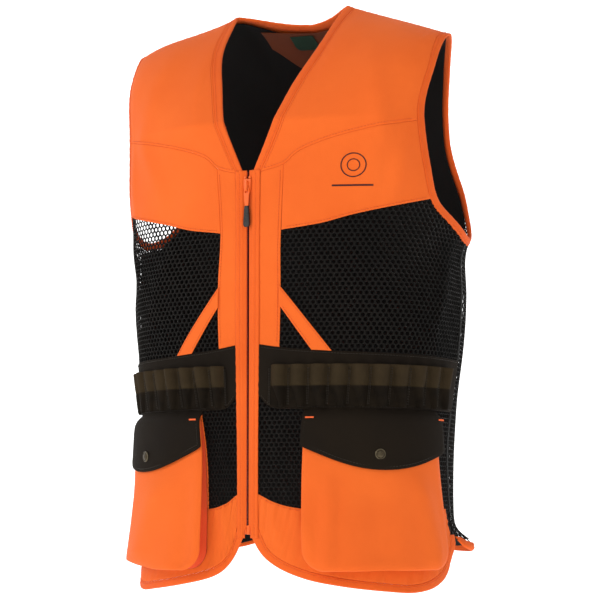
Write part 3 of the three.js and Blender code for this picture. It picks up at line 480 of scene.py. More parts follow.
def binding_mesh(name, stretches, seed):
    """A folded binding tape, drawn up by its stitches: a closed roll between the garment's edge and its seam.

    Each stretch is an (edge line, seam line) pair; one starts where the last ends, as over the shoulder.
    """
    rows = []
    for edge, seam in stretches:
        shares = np.linspace(0, 1, max(12, round(length_of(edge) / 2.4)))[1 if rows else 0:]
        rows.append(np.stack([at_shares(edge, shares), at_shares(seam, shares)], 1))
    rows = np.concatenate(rows)
    ring = np.linspace(0, 2 * np.pi, 18, endpoint=False)
    cosine, sine = np.cos(ring), np.sin(ring)
    across = 0.5 - 0.5 * np.sign(cosine) * np.abs(cosine) ** 0.55
    height = 0.5 + 0.5 * np.sign(sine) * np.abs(sine) ** 0.6
    upper = height > 0.5
    stitched = np.exp(-(((across - BINDING_STITCHED) / 0.13) ** 2)) * upper
    places = rows[:, :1] + (rows[:, 1:] - rows[:, :1]) * across[None, :, None]
    seat = surface(places[..., 0], places[..., 1])
    along = np.concatenate([[0], np.cumsum(np.linalg.norm(np.diff(seat[:, 0], axis=0), axis=1))])
    wave = ripple(along * 0.8, seed)[:, None]
    lift = BINDING_BASE + BINDING_THICKNESS * height - 0.75 * stitched + 0.22 * wave * upper
    lift = lift + drape(places[..., 0], places[..., 1])
    normal = unit(eased(outward(places[..., 0], places[..., 1])))
    points = seat + normal * lift[..., None]
    uv = np.stack(np.broadcast_arrays(along[:, None], across * 12), -1)
    return rolled(name, points, uv.reshape(-1, 2))


class Threads:
    """Gathers sewing threads, each a short rounded bar, into one mesh."""

    def __init__(self):
        self.points, self.faces, self.count = [], [], 0

    def add(self, starts, ends, normals, radius=STITCH_RADIUS, height=0.25):
        """One thread from each start to its end; both ends dip into the cloth."""
        along = unit(ends - starts)
        sideways = np.cross(along, normals)
        shares = np.array([0, 0.22, 0.78, 1])
        heights = np.array([-0.35, height, height, -0.35])
        centres = starts[:, None] + (ends - starts)[:, None] * shares[None, :, None]
        centres = centres + normals[:, None] * heights[None, :, None]
        ring = [sideways, normals, -sideways, -normals]
        rings = np.stack([centres + radius * direction[:, None] for direction in ring], 2)
        total = len(starts)
        base = self.count + 16 * np.arange(total)[:, None]
        quads = [[low + k, low + (k + 1) % 4, low + 4 + (k + 1) % 4, low + 4 + k]
                 for low in (0, 4, 8) for k in range(4)]
        quads += [[3, 2, 1, 0], [12, 13, 14, 15]]
        self.points.append(rings.reshape(-1, 3))
        self.faces.append((base[:, :, None] + np.array(quads)[None]).reshape(-1, 4))
        self.count += 16 * total

    def along(self, line, lift, pitch=STITCH_PITCH, length=STITCH_LENGTH):
        """A row of stitches along a line of places, at one height or at a height for each place."""
        total = length_of(line)
        starts = np.arange(pitch / 2, total - length, pitch) / total
        if not len(starts):
            return
        begin, finish = at_shares(line, starts), at_shares(line, starts + length / total)
        middle = (begin + finish) / 2
        lift = lift(middle) if callable(lift) else lift
        self.add(lifted(begin, lift), lifted(finish, lift), outward(*middle.T))

    def bar_tack(self, place, half_width, half_height, lift):
        """A dense bar of short upright threads that locks a corner."""
        steps = np.linspace(-half_width, half_width, 15)
        low, high = (np.array(place) + np.stack([steps, np.full(len(steps), end)], -1)
                     for end in (-half_height, half_height))
        height = lift(low)
        self.add(lifted(low, height), lifted(high, height), outward(*((low + high) / 2).T), 0.42, 0.3)

    def piece(self, name):
        return new_object(name, np.concatenate(self.points), [np.concatenate(self.faces)])


def inside_outline(points, outline):
    """Whether each point lies inside a closed outline."""
    x, y = points[:, 0:1], points[:, 1:2]
    x0, y0 = outline[:, 0], outline[:, 1]
    x1, y1 = np.roll(x0, -1), np.roll(y0, -1)
    crosses = (y0 > y) != (y1 > y)
    slope = (x1 - x0) / np.where(y1 == y0, 1e-9, y1 - y0)
    return (crosses & (x < x0 + (y - y0) * slope)).sum(1) % 2 == 1


def net_mesh(name, outline):
    """A knitted net: staggered six-sided cells with rounded holes, as one closed mesh of round strands."""
    pitch, row = NET_PITCH, NET_ROW
    low, high = outline.min(0) - pitch, outline.max(0) + pitch
    rows = np.arange(math.floor(low[1] / row), math.ceil(high[1] / row) + 1)
    columns = np.arange(math.floor(low[0] / pitch) - 1, math.ceil(high[0] / pitch) + 2)
    i, j = np.meshgrid(columns, rows, indexing="ij")
    i, j = i.ravel(), j.ravel()
    centres = np.stack([(i + 0.5 * (j % 2)) * pitch, j * row], -1)
    grown = outline.mean(0) + (outline - outline.mean(0)) * (1 + 3.5 / np.ptp(outline, axis=0))
    keep = inside_outline(centres, grown)
    centres, i, j = centres[keep], i[keep], j[keep]
    tall, short = 0.62 * row, 0.38 * row
    corner_steps = np.array([[0, tall], [-pitch / 2, short], [-pitch / 2, -short], [0, -tall],
                             [pitch / 2, -short], [pitch / 2, short]])
    corners = centres[:, None] + corner_steps[None]
    keys = np.round(corners / [pitch / 4, row / 8]).astype(np.int64).reshape(-1, 2)
    _, first, number = np.unique(keys, axis=0, return_index=True, return_inverse=True)
    number = number.reshape(-1)
    lattice = corners.reshape(-1, 2)[first]
    cell_corner = number.reshape(-1, 6)
    hole_angles = np.pi / 2 + np.arange(12) * np.pi / 6
    wobble = 1 + 0.07 * np.sin(centres[:, :1] * 1.7 + centres[:, 1:] * 2.3)
    hole = np.stack([0.29 * pitch * np.cos(hole_angles), 0.42 * row * np.sin(hole_angles)], -1)
    holes = centres[:, None] + hole[None] * wobble[:, :, None]
    total = len(lattice)
    hole_number = 2 * total + np.arange(12 * len(centres)).reshape(-1, 12)

    def placed(places, height):
        around, down = places[:, 0], places[:, 1]
        lift = NET_LIFT + drape(around, down) + height
        return surface(around, down) + outward(around, down) * lift[:, None]

    top_points, bottom_points = placed(lattice, NET_STRAND), placed(lattice, -NET_STRAND)
    hole_points = placed(holes.reshape(-1, 2), 0.0)
    triangles = []
    for k in range(6):
        after = (k + 1) % 6
        a, b = 2 * k, 2 * after
        middle = (a + 1) % 12
        for offset in (0, total):
            corner, next_corner = cell_corner[:, k] + offset, cell_corner[:, after] + offset
            three = [
                [corner, hole_number[:, middle], hole_number[:, a]],
                [corner, next_corner, hole_number[:, middle]],
                [next_corner, hole_number[:, b], hole_number[:, middle]]]
            for triangle in three:
                facing_out = np.stack(triangle, -1)
                triangles.append(facing_out[:, ::-1] if offset else facing_out)
    sides = np.stack([cell_corner, np.roll(cell_corner, -1, 1)], -1).reshape(-1, 2)
    _, first_side, side_uses = np.unique(np.sort(sides, 1), axis=0, return_index=True, return_counts=True)
    rim = sides[first_side[side_uses == 1]]
    rim_faces = np.stack([rim[:, 0], rim[:, 0] + total, rim[:, 1] + total, rim[:, 1]], -1)
    points = np.concatenate([top_points, bottom_points, hole_points])
    uv = np.concatenate([lattice, lattice, holes.reshape(-1, 2)])
    return new_object(name, points, [np.concatenate(triangles), rim_faces], uv)


# ---- materials ----

CLOTH_BUMP = 0.0003  # depth of a cloth's threads, in metres
FINE_BUMP = 0.0002


def linear(hex_colour):
    """A hex colour as linear RGBA."""
    channels = [int(hex_colour[i:i + 2], 16) / 255 for i in (0, 2, 4)]
    return [c / 12.92 if c <= 0.04045 else ((c + 0.055) / 1.055) ** 2.4 for c in channels] + [1]


class Nodes:
    """A short way to write a material's nodes."""

    def __init__(self, name, slot):
        self.material = bpy.data.materials.new(name)
        self.material.use_nodes = True
        self.material["slot"] = slot
        self.tree = self.material.node_tree
        self.shader = self.tree.nodes["Principled BSDF"]

    def connect(self, socket, value):
        """Links another node's output to a socket, or sets the socket's own value."""
        if isinstance(value, bpy.types.NodeSocket):
            self.tree.links.new(value, socket)
        else:
            socket.default_value = value

    def node(self, kind, inputs=None, **settings):
        made = self.tree.nodes.new(kind)
        for key, value in settings.items():
            setattr(made, key, value)
        for key, value in (inputs or {}).items():
            self.connect(made.inputs[key], value)
        return made

    def solid(self):
        """Coordinates that stay with the piece."""
        return self.node("ShaderNodeTexCoord").outputs["Object"]

    def on_cloth(self):
        """Coordinates along the flat cloth, in metres."""
        return self.node("ShaderNodeUVMap", uv_map="cloth").outputs[0]

    def mix(self, share, first, second):
        return self.node("ShaderNodeMix", {0: share, 6: first, 7: second}, data_type="RGBA").outputs[2]

    def maths(self, operation, first, second):
        return self.node("ShaderNodeMath", {0: first, 1: second}, operation=operation).outputs[0]

    def scaled(self, value, factor, start):
        """The value times a factor, plus a start."""
        return self.maths("ADD", self.maths("MULTIPLY", value, factor), start)

    def fading(self, value, factor):
        """A factor that fades to 0 as the value nears 1."""
        return self.maths("MULTIPLY", self.maths("SUBTRACT", 1.0, value), factor)

    def noise(self, place, scale, detail=3.0):
        inputs = {"Vector": place, "Scale": scale, "Detail": detail, "Roughness": 0.55}
        return self.node("ShaderNodeTexNoise", inputs).outputs["Fac"]

    def wave(self, place, scale, direction, distortion=0.6, detail=1.0):
        inputs = {"Vector": place, "Scale": scale, "Distortion": distortion, "Detail": detail}
        return self.node("ShaderNodeTexWave", inputs, bands_direction=direction).outputs["Fac"]

    def spread(self, value, low, high):
        return self.node("ShaderNodeMapRange", {"Value": value, "From Min": low, "From Max": high}).outputs[0]

    def edge_wear_and_highlight(self, low, high):
        """1 on the sharp outer edges of a cast piece, 0 elsewhere."""
        # Used for the brass's rubbed wear and for the enamel's painted edge highlight.
        return self.spread(self.node("ShaderNodeNewGeometry").outputs["Pointiness"], low, high)

    def finish(self, colour, roughness, height, strength, distance=FINE_BUMP, **plain):
        """Connects colour, roughness and bump, and sets the shader's plain numbers."""
        bump = self.node("ShaderNodeBump", {"Height": height, "Strength": strength, "Distance": distance})
        for socket, value in (("Base Color", colour), ("Roughness", roughness), ("Normal", bump.outputs[0])):
            self.connect(self.shader.inputs[socket], value)
        for key, value in plain.items():
            self.shader.inputs[key.replace("_", " ")].default_value = value
        return self.material


def woven(name, slot, light, dark, thread=0.00075, roughness=0.85, sheen=0.04, twill=0.0, bump=0.5,
          shine=0.2):
    """Woven cloth: crossing threads from the cloth's own coordinates, uneven dye and slubs."""
    n = Nodes(name, slot)
    place, solid = n.on_cloth(), n.solid()
    turned = n.node("ShaderNodeMapping", {"Vector": place, "Rotation": (0, 0, twill)}).outputs[0]
    scale = 0.314 / thread
    crossing = n.maths("MULTIPLY", n.wave(turned, scale, "X"), n.wave(turned, scale, "Y"))
    slub = n.noise(place, 900.0, 2.0)
    patchy = n.spread(n.noise(solid, 9.0, 4.0), 0.35, 0.7)
    ground = n.mix(patchy, linear(dark), linear(light))
    # Painted shade: the valleys between the threads are coloured darker, following the weave's height.
    valley_shade = [c * 0.8 for c in linear(dark)[:3]] + [1]
    colour = n.mix(n.fading(n.spread(crossing, 0.0, 0.55), 0.45), ground, valley_shade)
    height = n.maths("ADD", crossing, n.maths("MULTIPLY", slub, 0.5))
    return n.finish(colour, n.scaled(patchy, 0.06, roughness - 0.03), height, bump, CLOTH_BUMP,
                    Sheen_Weight=sheen, Sheen_Roughness=0.5, Specular_IOR_Level=shine)


def knitted(name, slot, light, dark):
    """Net yarn: fine filaments, unevenly dyed."""
    n = Nodes(name, slot)
    solid = n.solid()
    yarn = n.noise(solid, 1400.0)
    cloudy = n.spread(n.noise(solid, 14.0), 0.35, 0.7)
    colour = n.mix(n.maths("MULTIPLY", n.maths("ADD", yarn, cloudy), 0.5), linear(dark), linear(light))
    return n.finish(colour, n.scaled(yarn, 0.2, 0.55), yarn, 0.6, CLOTH_BUMP, Specular_IOR_Level=0.12)


def ribbed(name, slot, light, dark, upper, groove_shade):
    """Woven elastic: fine upright ribs with painted shade, and painted light above the middle crease."""
    n = Nodes(name, slot)
    place = n.on_cloth()
    up = n.node("ShaderNodeSeparateXYZ", {"Vector": place}).outputs[1]
    ribs = n.wave(place, 330.0, "X", 0.8, 2.0)
    weft = n.wave(place, 200.0, "Y", 0.4)
    middle = (LOOP_TOP + LOOP_BOTTOM) / 2000
    # Painted light: the half above the middle crease takes the paler upper colour, as light on the loops'
    # flared tops; the half below keeps the darker colour as their shade.
    ground = n.mix(n.spread(up, middle - 0.0008, middle + 0.0008), linear(dark), linear(upper))
    patchy = n.spread(n.noise(place, 60.0), 0.3, 0.75)
    ground = n.mix(n.maths("MULTIPLY", patchy, 0.5), ground, linear(light))
    height = n.maths("ADD", ribs, n.maths("MULTIPLY", weft, 0.4))
    # Painted shade: the grooves between the ribs are coloured darker.
    colour = n.mix(n.fading(ribs, 0.3), ground, linear(groove_shade))
    return n.finish(colour, 0.88, height, 0.5, CLOTH_BUMP, Specular_IOR_Level=0.08)


def thread(name, slot, light, dark):
    """Twisted sewing thread."""
    n = Nodes(name, slot)
    twist = n.noise(n.solid(), 2500.0, 2.0)
    return n.finish(n.mix(twist, linear(dark), linear(light)), 0.6, twist, 0.4, Specular_IOR_Level=0.35)


def enamelled(name, slot, light, dark, worn):
    """Die-cast metal under a coat of coloured enamel, with a painted highlight on its sharp edges."""
    n = Nodes(name, slot)
    edge = n.edge_wear_and_highlight(0.54, 0.62)
    cloudy = n.noise(n.solid(), 300.0)
    # Painted highlight: the paler third colour is mixed in on the sharp edges.
    colour = n.mix(n.maths("MULTIPLY", edge, 0.6), n.mix(cloudy, linear(dark), linear(light)), linear(worn))
    return n.finish(colour, n.scaled(cloudy, 0.2, 0.3), cloudy, 0.15,
                    Coat_Weight=0.1, Coat_Roughness=0.3, Specular_IOR_Level=0.3)


def moulded(name, slot, light, dark, roughness):
    """Moulded rubber or nylon with a fine grain."""
    n = Nodes(name, slot)
    solid = n.solid()
    grain = n.noise(solid, 1200.0)
    colour = n.mix(n.noise(solid, 120.0), linear(dark), linear(light))
    return n.finish(colour, n.scaled(grain, 0.12, roughness), grain, 0.3)


def aged_metal(name, slot, light, dark, worn):
    """Dark antique metal, brighter where it is rubbed."""
    n = Nodes(name, slot)
    edge = n.edge_wear_and_highlight(0.5, 0.6)
    tarnish = n.spread(n.noise(n.solid(), 420.0, 5.0), 0.3, 0.75)
    colour = n.mix(n.maths("MULTIPLY", edge, 0.7), n.mix(tarnish, linear(dark), linear(light)), linear(worn))
    return n.finish(colour, n.scaled(tarnish, 0.2, 0.3), tarnish, 0.2, Metallic=0.9)


ORANGE = woven("blaze_orange_cloth", "orange_cloth", "ef6c25", "e6621d")
BINDING = woven("orange_binding_tape", "orange_binding", "f06924", "e35c19", thread=0.0006)
# Painted shade: the gusset's orange is darker and redder, for the shade between pocket and body.
GUSSET_PAINTED_SHADE = woven("gusset_orange_painted_shade", "gusset_cloth", "e4552a", "d44620")
OLIVE = woven("olive_brown_cloth", "olive_cloth", "1e160c", "160f08",
              thread=0.0009, sheen=0.0, twill=0.6, bump=0.6, shine=0.12)
# The upper colour 372c1c is painted light on the loops' tops; 15110b is painted shade in the rib grooves.
ELASTIC = ribbed("olive_elastic_web", "olive_elastic", "261d12", "100b06", "372c1c", "15110b")
LINING = woven("black_lining_cloth", "dark_lining", "0a0908", "060605", sheen=0.0)
# Painted shade: the facing is orange cloth, coloured brown for the shade inside the neck.
FACING_PAINTED_SHADE = woven("facing_cloth", "facing_cloth", "6e361a", "5a2a13")
LABEL = woven("blank_woven_label", "label_cloth", "0f3a25", "0a2a1a", thread=0.0004, roughness=0.6)
NET = knitted("black_net_yarn", "black_net", "15110d", "060504")
NET_EDGE = woven("net_edge_tape", "black_net", "110f0c", "0a0907", thread=0.0006)
ORANGE_THREAD = thread("orange_thread", "orange_cloth", "e2601f", "cc4f14")
TACK_THREAD = thread("bright_orange_thread", "orange_cloth", "ff7a40", "ee5f24")
DARK_THREAD = thread("dark_thread", "olive_cloth", "2c2419", "1a140d")
MARK_THREAD = thread("dark_plum_thread", "olive_cloth", "4a1f22", "351417")
COIL = moulded("dark_red_nylon", "zip_coil", "b81e0a", "8e1406", 0.4)
RUBBER = moulded("dark_rubber", "pull_rubber", "15110f", "0c0a09", 0.5)
# f08a4c is a painted highlight on the enamel's sharp edges.
ENAMEL = enamelled("orange_enamel", "zip_metal", "ee661a", "d9560f", "f08a4c")
BRASS = aged_metal("antique_brass", "snap_brass", "4a4030", "241d14", "857a62")

# ---- seam lines of the wearer's left side ----


def shoulder_place(x, behind=False):
    """The place on the shoulder seam that lies x mm from the middle, on the front or the back chart."""
    half = value_at(HALF_WIDTH_BY_HEIGHT, 0.0)
    angle = math.asin((x / half) ** (ROUNDNESS / 2))
    return [float(np.interp(math.pi - angle if behind else angle, ANGLES, ARC)), 0]


NECK_SEAM_AT_SHOULDER = NECK_HALF_WIDTH + BINDING_WIDTH
ARM_SEAM_AT_SHOULDER = SHOULDER_HALF_WIDTH - BINDING_WIDTH
NECK_EDGE = [shoulder_place(NECK_HALF_WIDTH), [60, -65], [43, -112], [33, -142], [20, -176], [6, -209]]
NECK_SEAM = [
    shoulder_place(NECK_SEAM_AT_SHOULDER), [69.5, -68], [52, -116], [41.5, -146], [28.5, -180], [15, -209]]
ARMHOLE_SEAM = [
    shoulder_place(ARM_SEAM_AT_SHOULDER), [196, -83], [190, -153], [210, -241], [247, -268],
    [SIDE_SEAM, -284], [320, -280], [352, -246], [388, -190], [402, -141], [398, -96],
    shoulder_place(ARM_SEAM_AT_SHOULDER, behind=True)]
ARMHOLE_EDGE = [
    shoulder_place(SHOULDER_HALF_WIDTH), [205, -86], [199, -153], [218, -236], [252, -260],
    [SIDE_SEAM, -275], [318, -270.5], [344, -241], [379, -187], [393, -141], [389, -100],
    shoulder_place(SHOULDER_HALF_WIDTH, behind=True)]
YOKE_SEAM = [[15, -209], [43, -201], [57, -189], [80, -179], [122, -167], [190, -153]]
NET_TOP = [[41.5, -277], [86, -271], [120, -262], [168, -251], [210, -241]]
BELT_TOP = [[12.8, -406], [PLACKET_EDGE, -410], [100, -415], [SIDE_SEAM, -420]]
BELT_LOWER = [[13.2, -462], [30, BELT_BOTTOM + 3], [60, BELT_BOTTOM], [SIDE_SEAM, BELT_BOTTOM]]
HEM_TOP = [[14, -575], [41, -586], [POCKET_INNER, -592], [SIDE_SEAM - 14, -592]]
HEM_SEAM = [
    [14, -611], [28, -637], [46, -650], [76, -661], [115, -669], [165, -675], [205, -677],
    [237, -670], [262, -656], [275, -637], [SIDE_SEAM - 9, VENT_TOP]]
HEM_EDGE = [
    [4, -621], [20, -644], [40, -658], [72, -670], [113, -678], [165, -684], [206, -686],
    [242, -679], [270, -664], [284, -641], [SIDE_SEAM, VENT_TOP]]
PLACKET_SHARE = 0.95  # how far along the yoke seam's first stretch the placket ends
placket_top = spline(YOKE_SEAM, PLACKET_SHARE, PLACKET_SHARE, 1)[0]
placket_side = straight([PLACKET_EDGE, -410], placket_top)


def other_half(line):
    """The same line on the other half of the back, run the same way."""
    return line * [-1, 1] + [2 * BACK_MIDDLE, 0]


def across_back(around, down):
    return straight([around, down], [2 * BACK_MIDDLE - around, down])


BACK_NECK_EDGE = [shoulder_place(NECK_HALF_WIDTH, behind=True), [506, -21], [BACK_MIDDLE, -28]]
BACK_NECK_SEAM = [shoulder_place(NECK_SEAM_AT_SHOULDER, behind=True), [504, -32], [BACK_MIDDLE, -39]]


def neck_half(places):
    """Half of a back neck line, level where it crosses the middle."""
    mirrored = [[2 * BACK_MIDDLE - around, down] for around, down in places[-2::-1]]
    return spline(places + mirrored, 0, 2)


def trimmed(line, start, end):
    """A line without its first and last millimetres."""
    total = length_of(line)
    return at_shares(line, np.linspace(start / total, 1 - end / total, 200))


back_neck_seam = neck_half(BACK_NECK_SEAM)
body_threads = Threads()  # orange topstitching of everything that stays still
dark_threads = Threads()


# ---- sewn panels of both fronts ----

yoke_line = spline(YOKE_SEAM)
net_top_line = spline(NET_TOP)
belt_top_line = spline(BELT_TOP)
hem_top_line = spline(HEM_TOP)
front_grids = {
    "front_yoke": panel(
        yoke_line, straight(NECK_SEAM[0], ARMHOLE_SEAM[0]),
        spline(NECK_SEAM)[::-1], spline(ARMHOLE_SEAM, 0, 2)[::-1]),
    "placket": panel(
        spline(BELT_TOP, 0, 1), spline(YOKE_SEAM, 0, PLACKET_SHARE), None, placket_side),
    "chest_panel": panel(
        net_top_line, spline(YOKE_SEAM, PLACKET_SHARE), straight(NET_TOP[0], placket_top),
        spline(ARMHOLE_SEAM, 2, 3)[::-1]),
    "hem_panel": panel(spline(HEM_SEAM), hem_top_line),
    "pocket_back": panel(
        spline(HEM_TOP, 2, 2.85), straight([POCKET_INNER, BELT_BOTTOM - 4], [POCKET_OUTER, BELT_BOTTOM - 4])),
}
belt_grid = panel(spline(BELT_LOWER), belt_top_line)
tape_top = straight([PLACKET_EDGE - 1, -339], [102.5, -415.5])
tape_bottom = straight([PLACKET_EDGE - 1, -362], [79, -414])
tape_grid = panel(tape_bottom, tape_top, step=2.4)
seam_tape_grids = {
    "upper_side_seam_tape": panel(straight([287, -421], [293, -421]), straight([287, -282], [293, -282])),
    "lower_side_seam_tape": panel(straight([287, -596], [293, -596]), straight([287, -480], [293, -480])),
}
net_outlines = {
    "upper_net": joined(
        spline(BELT_TOP, 1), straight([SIDE_SEAM, -420], [SIDE_SEAM, -284]),
        spline(ARMHOLE_SEAM, 3, 5)[::-1], net_top_line[::-1]),
    "lower_net": joined(
        spline(HEM_TOP, 0, 2), straight([POCKET_INNER, BELT_BOTTOM - 1], [60, BELT_BOTTOM - 1]),
        spline(BELT_LOWER, 0, 2)[::-1]),
    "side_net": joined(
        straight([POCKET_OUTER, -592], [SIDE_SEAM, -592]),
        straight([SIDE_SEAM, BELT_BOTTOM], [POCKET_OUTER, BELT_BOTTOM])),
    "back_side_net": joined(
        straight([SIDE_SEAM, VENT_TOP], [BACK_SIDE_SEAM, VENT_TOP - 8]), spline(ARMHOLE_SEAM, 5, 6.77)[::-1]),
}


def net_piece(name, outline):
    """A net standing for the CAD panel of that name."""
    piece = finished(net_mesh(name + "_cells", outline), NET, nodes=[name])


BELT_HEIGHTS = (1.2, 3.4)
TAPE_HEIGHTS = (2.9, 4.3)
SEAM_TAPE_HEIGHTS = (1.0, 2.6)
for side, word in SIDES:
    for index, (part, grid) in enumerate(front_grids.items()):
        placed = sided(grid, side)
        relief = seam_puckers(placed, depth=0.45, reach=12, seed=index + 2.0 * side)
        if part == "hem_panel":
            relief = relief + seam_puckers(placed, depth=1.7, reach=20, seed=4.0 * side)
        sewn_panel(f"{word}_{part}_cloth", placed, ORANGE, f"{word}_{part}", relief=relief)
    placed = sided(belt_grid, side)
    relief = seam_puckers(placed, 0.3, 10, 1.5 + side)
    sewn_panel(f"{word}_belt_cloth", placed, OLIVE, f"{word}_belt", BELT_HEIGHTS, relief)
    sewn_panel(
        f"{word}_diagonal_tape_cloth", sided(tape_grid, side), ORANGE, f"{word}_diagonal_tape", TAPE_HEIGHTS)
    for part, grid in seam_tape_grids.items():
        sewn_panel(f"{word}_{part}", sided(grid, side), NET_EDGE, heights=SEAM_TAPE_HEIGHTS)
    for part, outline in net_outlines.items():
        net_piece(f"{word}_{part}", flipped(outline, side))
    for line in (beside(yoke_line, 2.6), beside(net_top_line, 2.4), beside(placket_side, 3.2),
                 beside(hem_top_line, -2.4), beside(spline(NECK_SEAM), 2.2)):
        body_threads.along(trimmed(flipped(line, side), 4, 4), STITCH_LIFT)
    for line in (beside(tape_top, -2), beside(tape_bottom, 2)):
        body_threads.along(trimmed(flipped(line, side), 3, 3), 4.4)
    for line in (beside(belt_top_line, -2.6), beside(spline(BELT_LOWER), 2.6)):
        dark_threads.along(trimmed(flipped(line, side), 4, 4), 3.5)

# ---- cartridge loops ----

LOOP_WIDTH = 18.6
LOOP_BULGE = 9.0
LOOP_BASE = 4.5
LOOP_HEIGHTS = (LOOP_BASE, LOOP_BASE + 1.5)


def loop_relief(around, down):
    """Height of the elastic above the belt: each loop stands open at its top and is pinched at its bottom."""
    up = (down - LOOP_BOTTOM) / (LOOP_TOP - LOOP_BOTTOM)
    position = (np.abs(around) - FIRST_LOOP) / LOOP_PITCH
    number = np.clip(np.round(position), 0, LOOP_COUNT - 1)
    chance = number * 2.7 + np.sign(around)
    bulge = LOOP_BULGE * (1 + 0.12 * np.sin(chance)) * (0.55 + 0.45 * up)
    bulge = bulge * np.where((around < 0) & (number > 3), 0.5, 1.0)
    narrow = 1 - (0.5 + 0.12 * np.sin(chance * 1.7)) * (1 - eased_step(up / 0.7)) - 0.05
    lean = (3.4 + 1.6 * np.sin(chance * 2.3)) * eased_step(1 - up / 0.6)
    from_centre = ((position - number) * LOOP_PITCH - lean) / narrow
    arch = np.cos(np.pi * np.clip(from_centre / LOOP_WIDTH, -0.5, 0.5)) ** 0.7
    crease = 0.35 * np.exp(-(((up - 0.52) / 0.05) ** 2))
    return arch * bulge - crease


first_end = FIRST_LOOP - 0.57 * LOOP_WIDTH
last_end = FIRST_LOOP + (LOOP_COUNT - 1) * LOOP_PITCH + 0.62 * LOOP_WIDTH
loop_around = np.concatenate([
    [first_end, first_end + 0.3], np.arange(first_end + 1.1, last_end - 1, 1.1), [last_end - 0.3, last_end]])
rim = np.array([0, 0.3, 1.2])
loop_down = np.concatenate([
    LOOP_BOTTOM + rim, np.linspace(LOOP_BOTTOM + 3, LOOP_TOP - 3, 17), LOOP_TOP - rim[::-1]])
loop_grid = np.stack(np.meshgrid(loop_around, loop_down, indexing="ij"), -1)
for side, word in SIDES:
    placed = sided(loop_grid, side)
    relief = loop_relief(placed[..., 0], placed[..., 1])
    sewn_panel(f"{word}_loop_elastic", placed, ELASTIC, f"{word}_cartridge_loops", LOOP_HEIGHTS, relief)
    for k in range(LOOP_COUNT + 1):
        around = side * (FIRST_LOOP + (k - 0.5) * LOOP_PITCH)
        for offset in (-0.8, 0.8):
            row = straight([around + offset, LOOP_BOTTOM + 1.5], [around + offset, LOOP_TOP - 1.5])
            dark_threads.along(row, LOOP_BASE + 1.6, pitch=2.8, length=2.1)

# ---- bellows pockets ----


def pocket_lift(down):
    """Height of a pocket's face, small at its top and full towards its bottom."""
    share = np.clip((POCKET_TOP - down) / (POCKET_TOP - POCKET_BOTTOM), 0, 1)
    return POCKET_LIFT_TOP + (POCKET_LIFT_BOTTOM - POCKET_LIFT_TOP) * np.sin(share * np.pi / 2) ** 0.9


def pocket_relief(around, down, margin):
    """Soft fullness of the pocket's face: its edges roll back and two folds run down from the snap."""
    reach = np.abs(around)
    free = np.clip((-548 - down) / 30, 0, 1)
    rolled = -2.2 * (1 - np.clip(margin / 9, 0, 1)) ** 2
    if around.mean() > 0:
        fold = 2.4 * np.exp(-(((reach - 108 - 0.06 * (down + 550)) / 9) ** 2))
        fold = fold + 2.8 * np.exp(-(((reach - 205 + 0.16 * (down + 550)) / 13) ** 2))
        fold = fold - 2.0 * np.exp(-(((reach - 158) / 20) ** 2))
    else:
        fold = 3.0 * np.exp(-(((reach - 150 + 0.42 * (down + 590)) / 22) ** 2))
        fold = fold - 1.6 * np.exp(-(((reach - 96) / 14) ** 2)) - 1.5 * np.exp(-(((reach - 222) / 16) ** 2))
    return rolled + 1.5 * fold * free * np.clip(margin / 16, 0, 1)


pocket_width = POCKET_OUTER - POCKET_INNER
pocket_downs = POCKET_BOTTOM + edge_shares(POCKET_TOP - POCKET_BOTTOM, 2.8) * (POCKET_TOP - POCKET_BOTTOM)
below = POCKET_CORNER - (pocket_downs - POCKET_BOTTOM)
curve = np.sqrt(np.clip(POCKET_CORNER**2 - np.maximum(below, 0) ** 2, 0, None))
corner_inset = np.where(below > 0, POCKET_CORNER - curve, 0)
pocket_shares = edge_shares(pocket_width, 2.8)[:, None]
pocket_grid = np.stack([
    POCKET_INNER + corner_inset + pocket_shares * (pocket_width - 2 * corner_inset),
    np.broadcast_to(pocket_downs, (len(pocket_shares), len(pocket_downs)))], -1)


def hung(grid, side):
    """Places of a pocket's grid as it hangs: drawn in at the left hip and up at the right one."""
    grid = sided(grid, side)
    reach, down = np.abs(grid[..., 0]), grid[..., 1]
    drawn = 6 * eased_step((reach - 190) / 60) if side > 0 else 0
    raised = 8 * eased_step((reach - 130) / 90) * eased_step((-600 - down) / 60) if side < 0 else 0
    return np.stack([np.sign(grid[..., 0]) * (reach - drawn), down + raised], -1)


def lower_corners(left, right, bottom, radius, steps=12):
    """The two rounded lower corners of an upright rectangle, each from its left end to its right end."""
    turn = np.linspace(0, np.pi / 2, steps)
    return (np.stack([left + radius - radius * np.cos(turn), bottom + radius - radius * np.sin(turn)], -1),
            np.stack([right - radius + radius * np.sin(turn), bottom + radius - radius * np.cos(turn)], -1))


def gusset_path(inset):
    """Places down one side of the pocket, round its bottom and up the other side, inset from its edge."""
    inner, outer, bottom = POCKET_INNER + inset, POCKET_OUTER - inset, POCKET_BOTTOM + inset
    radius = POCKET_CORNER - inset
    first, second = (corner[1:] for corner in lower_corners(inner, outer, bottom, radius))
    across = np.linspace(inner + radius, outer - radius, 40)[1:]
    down = np.linspace(POCKET_TOP - 2, bottom + radius, 50)
    return np.concatenate([
        np.stack([np.full(50, inner), down], -1), first, np.stack([across, np.full(39, bottom)], -1),
        second, np.stack([np.full(49, outer), down[::-1][1:]], -1)])


def flap_bottom(share):
    """Height of the flap's curved lower edge at a share of its width."""
    side = FLAP_SIDE - 6 * share
    return side + (FLAP_TIP - FLAP_SIDE + 3) * np.sin(np.pi * share) ** 1.15


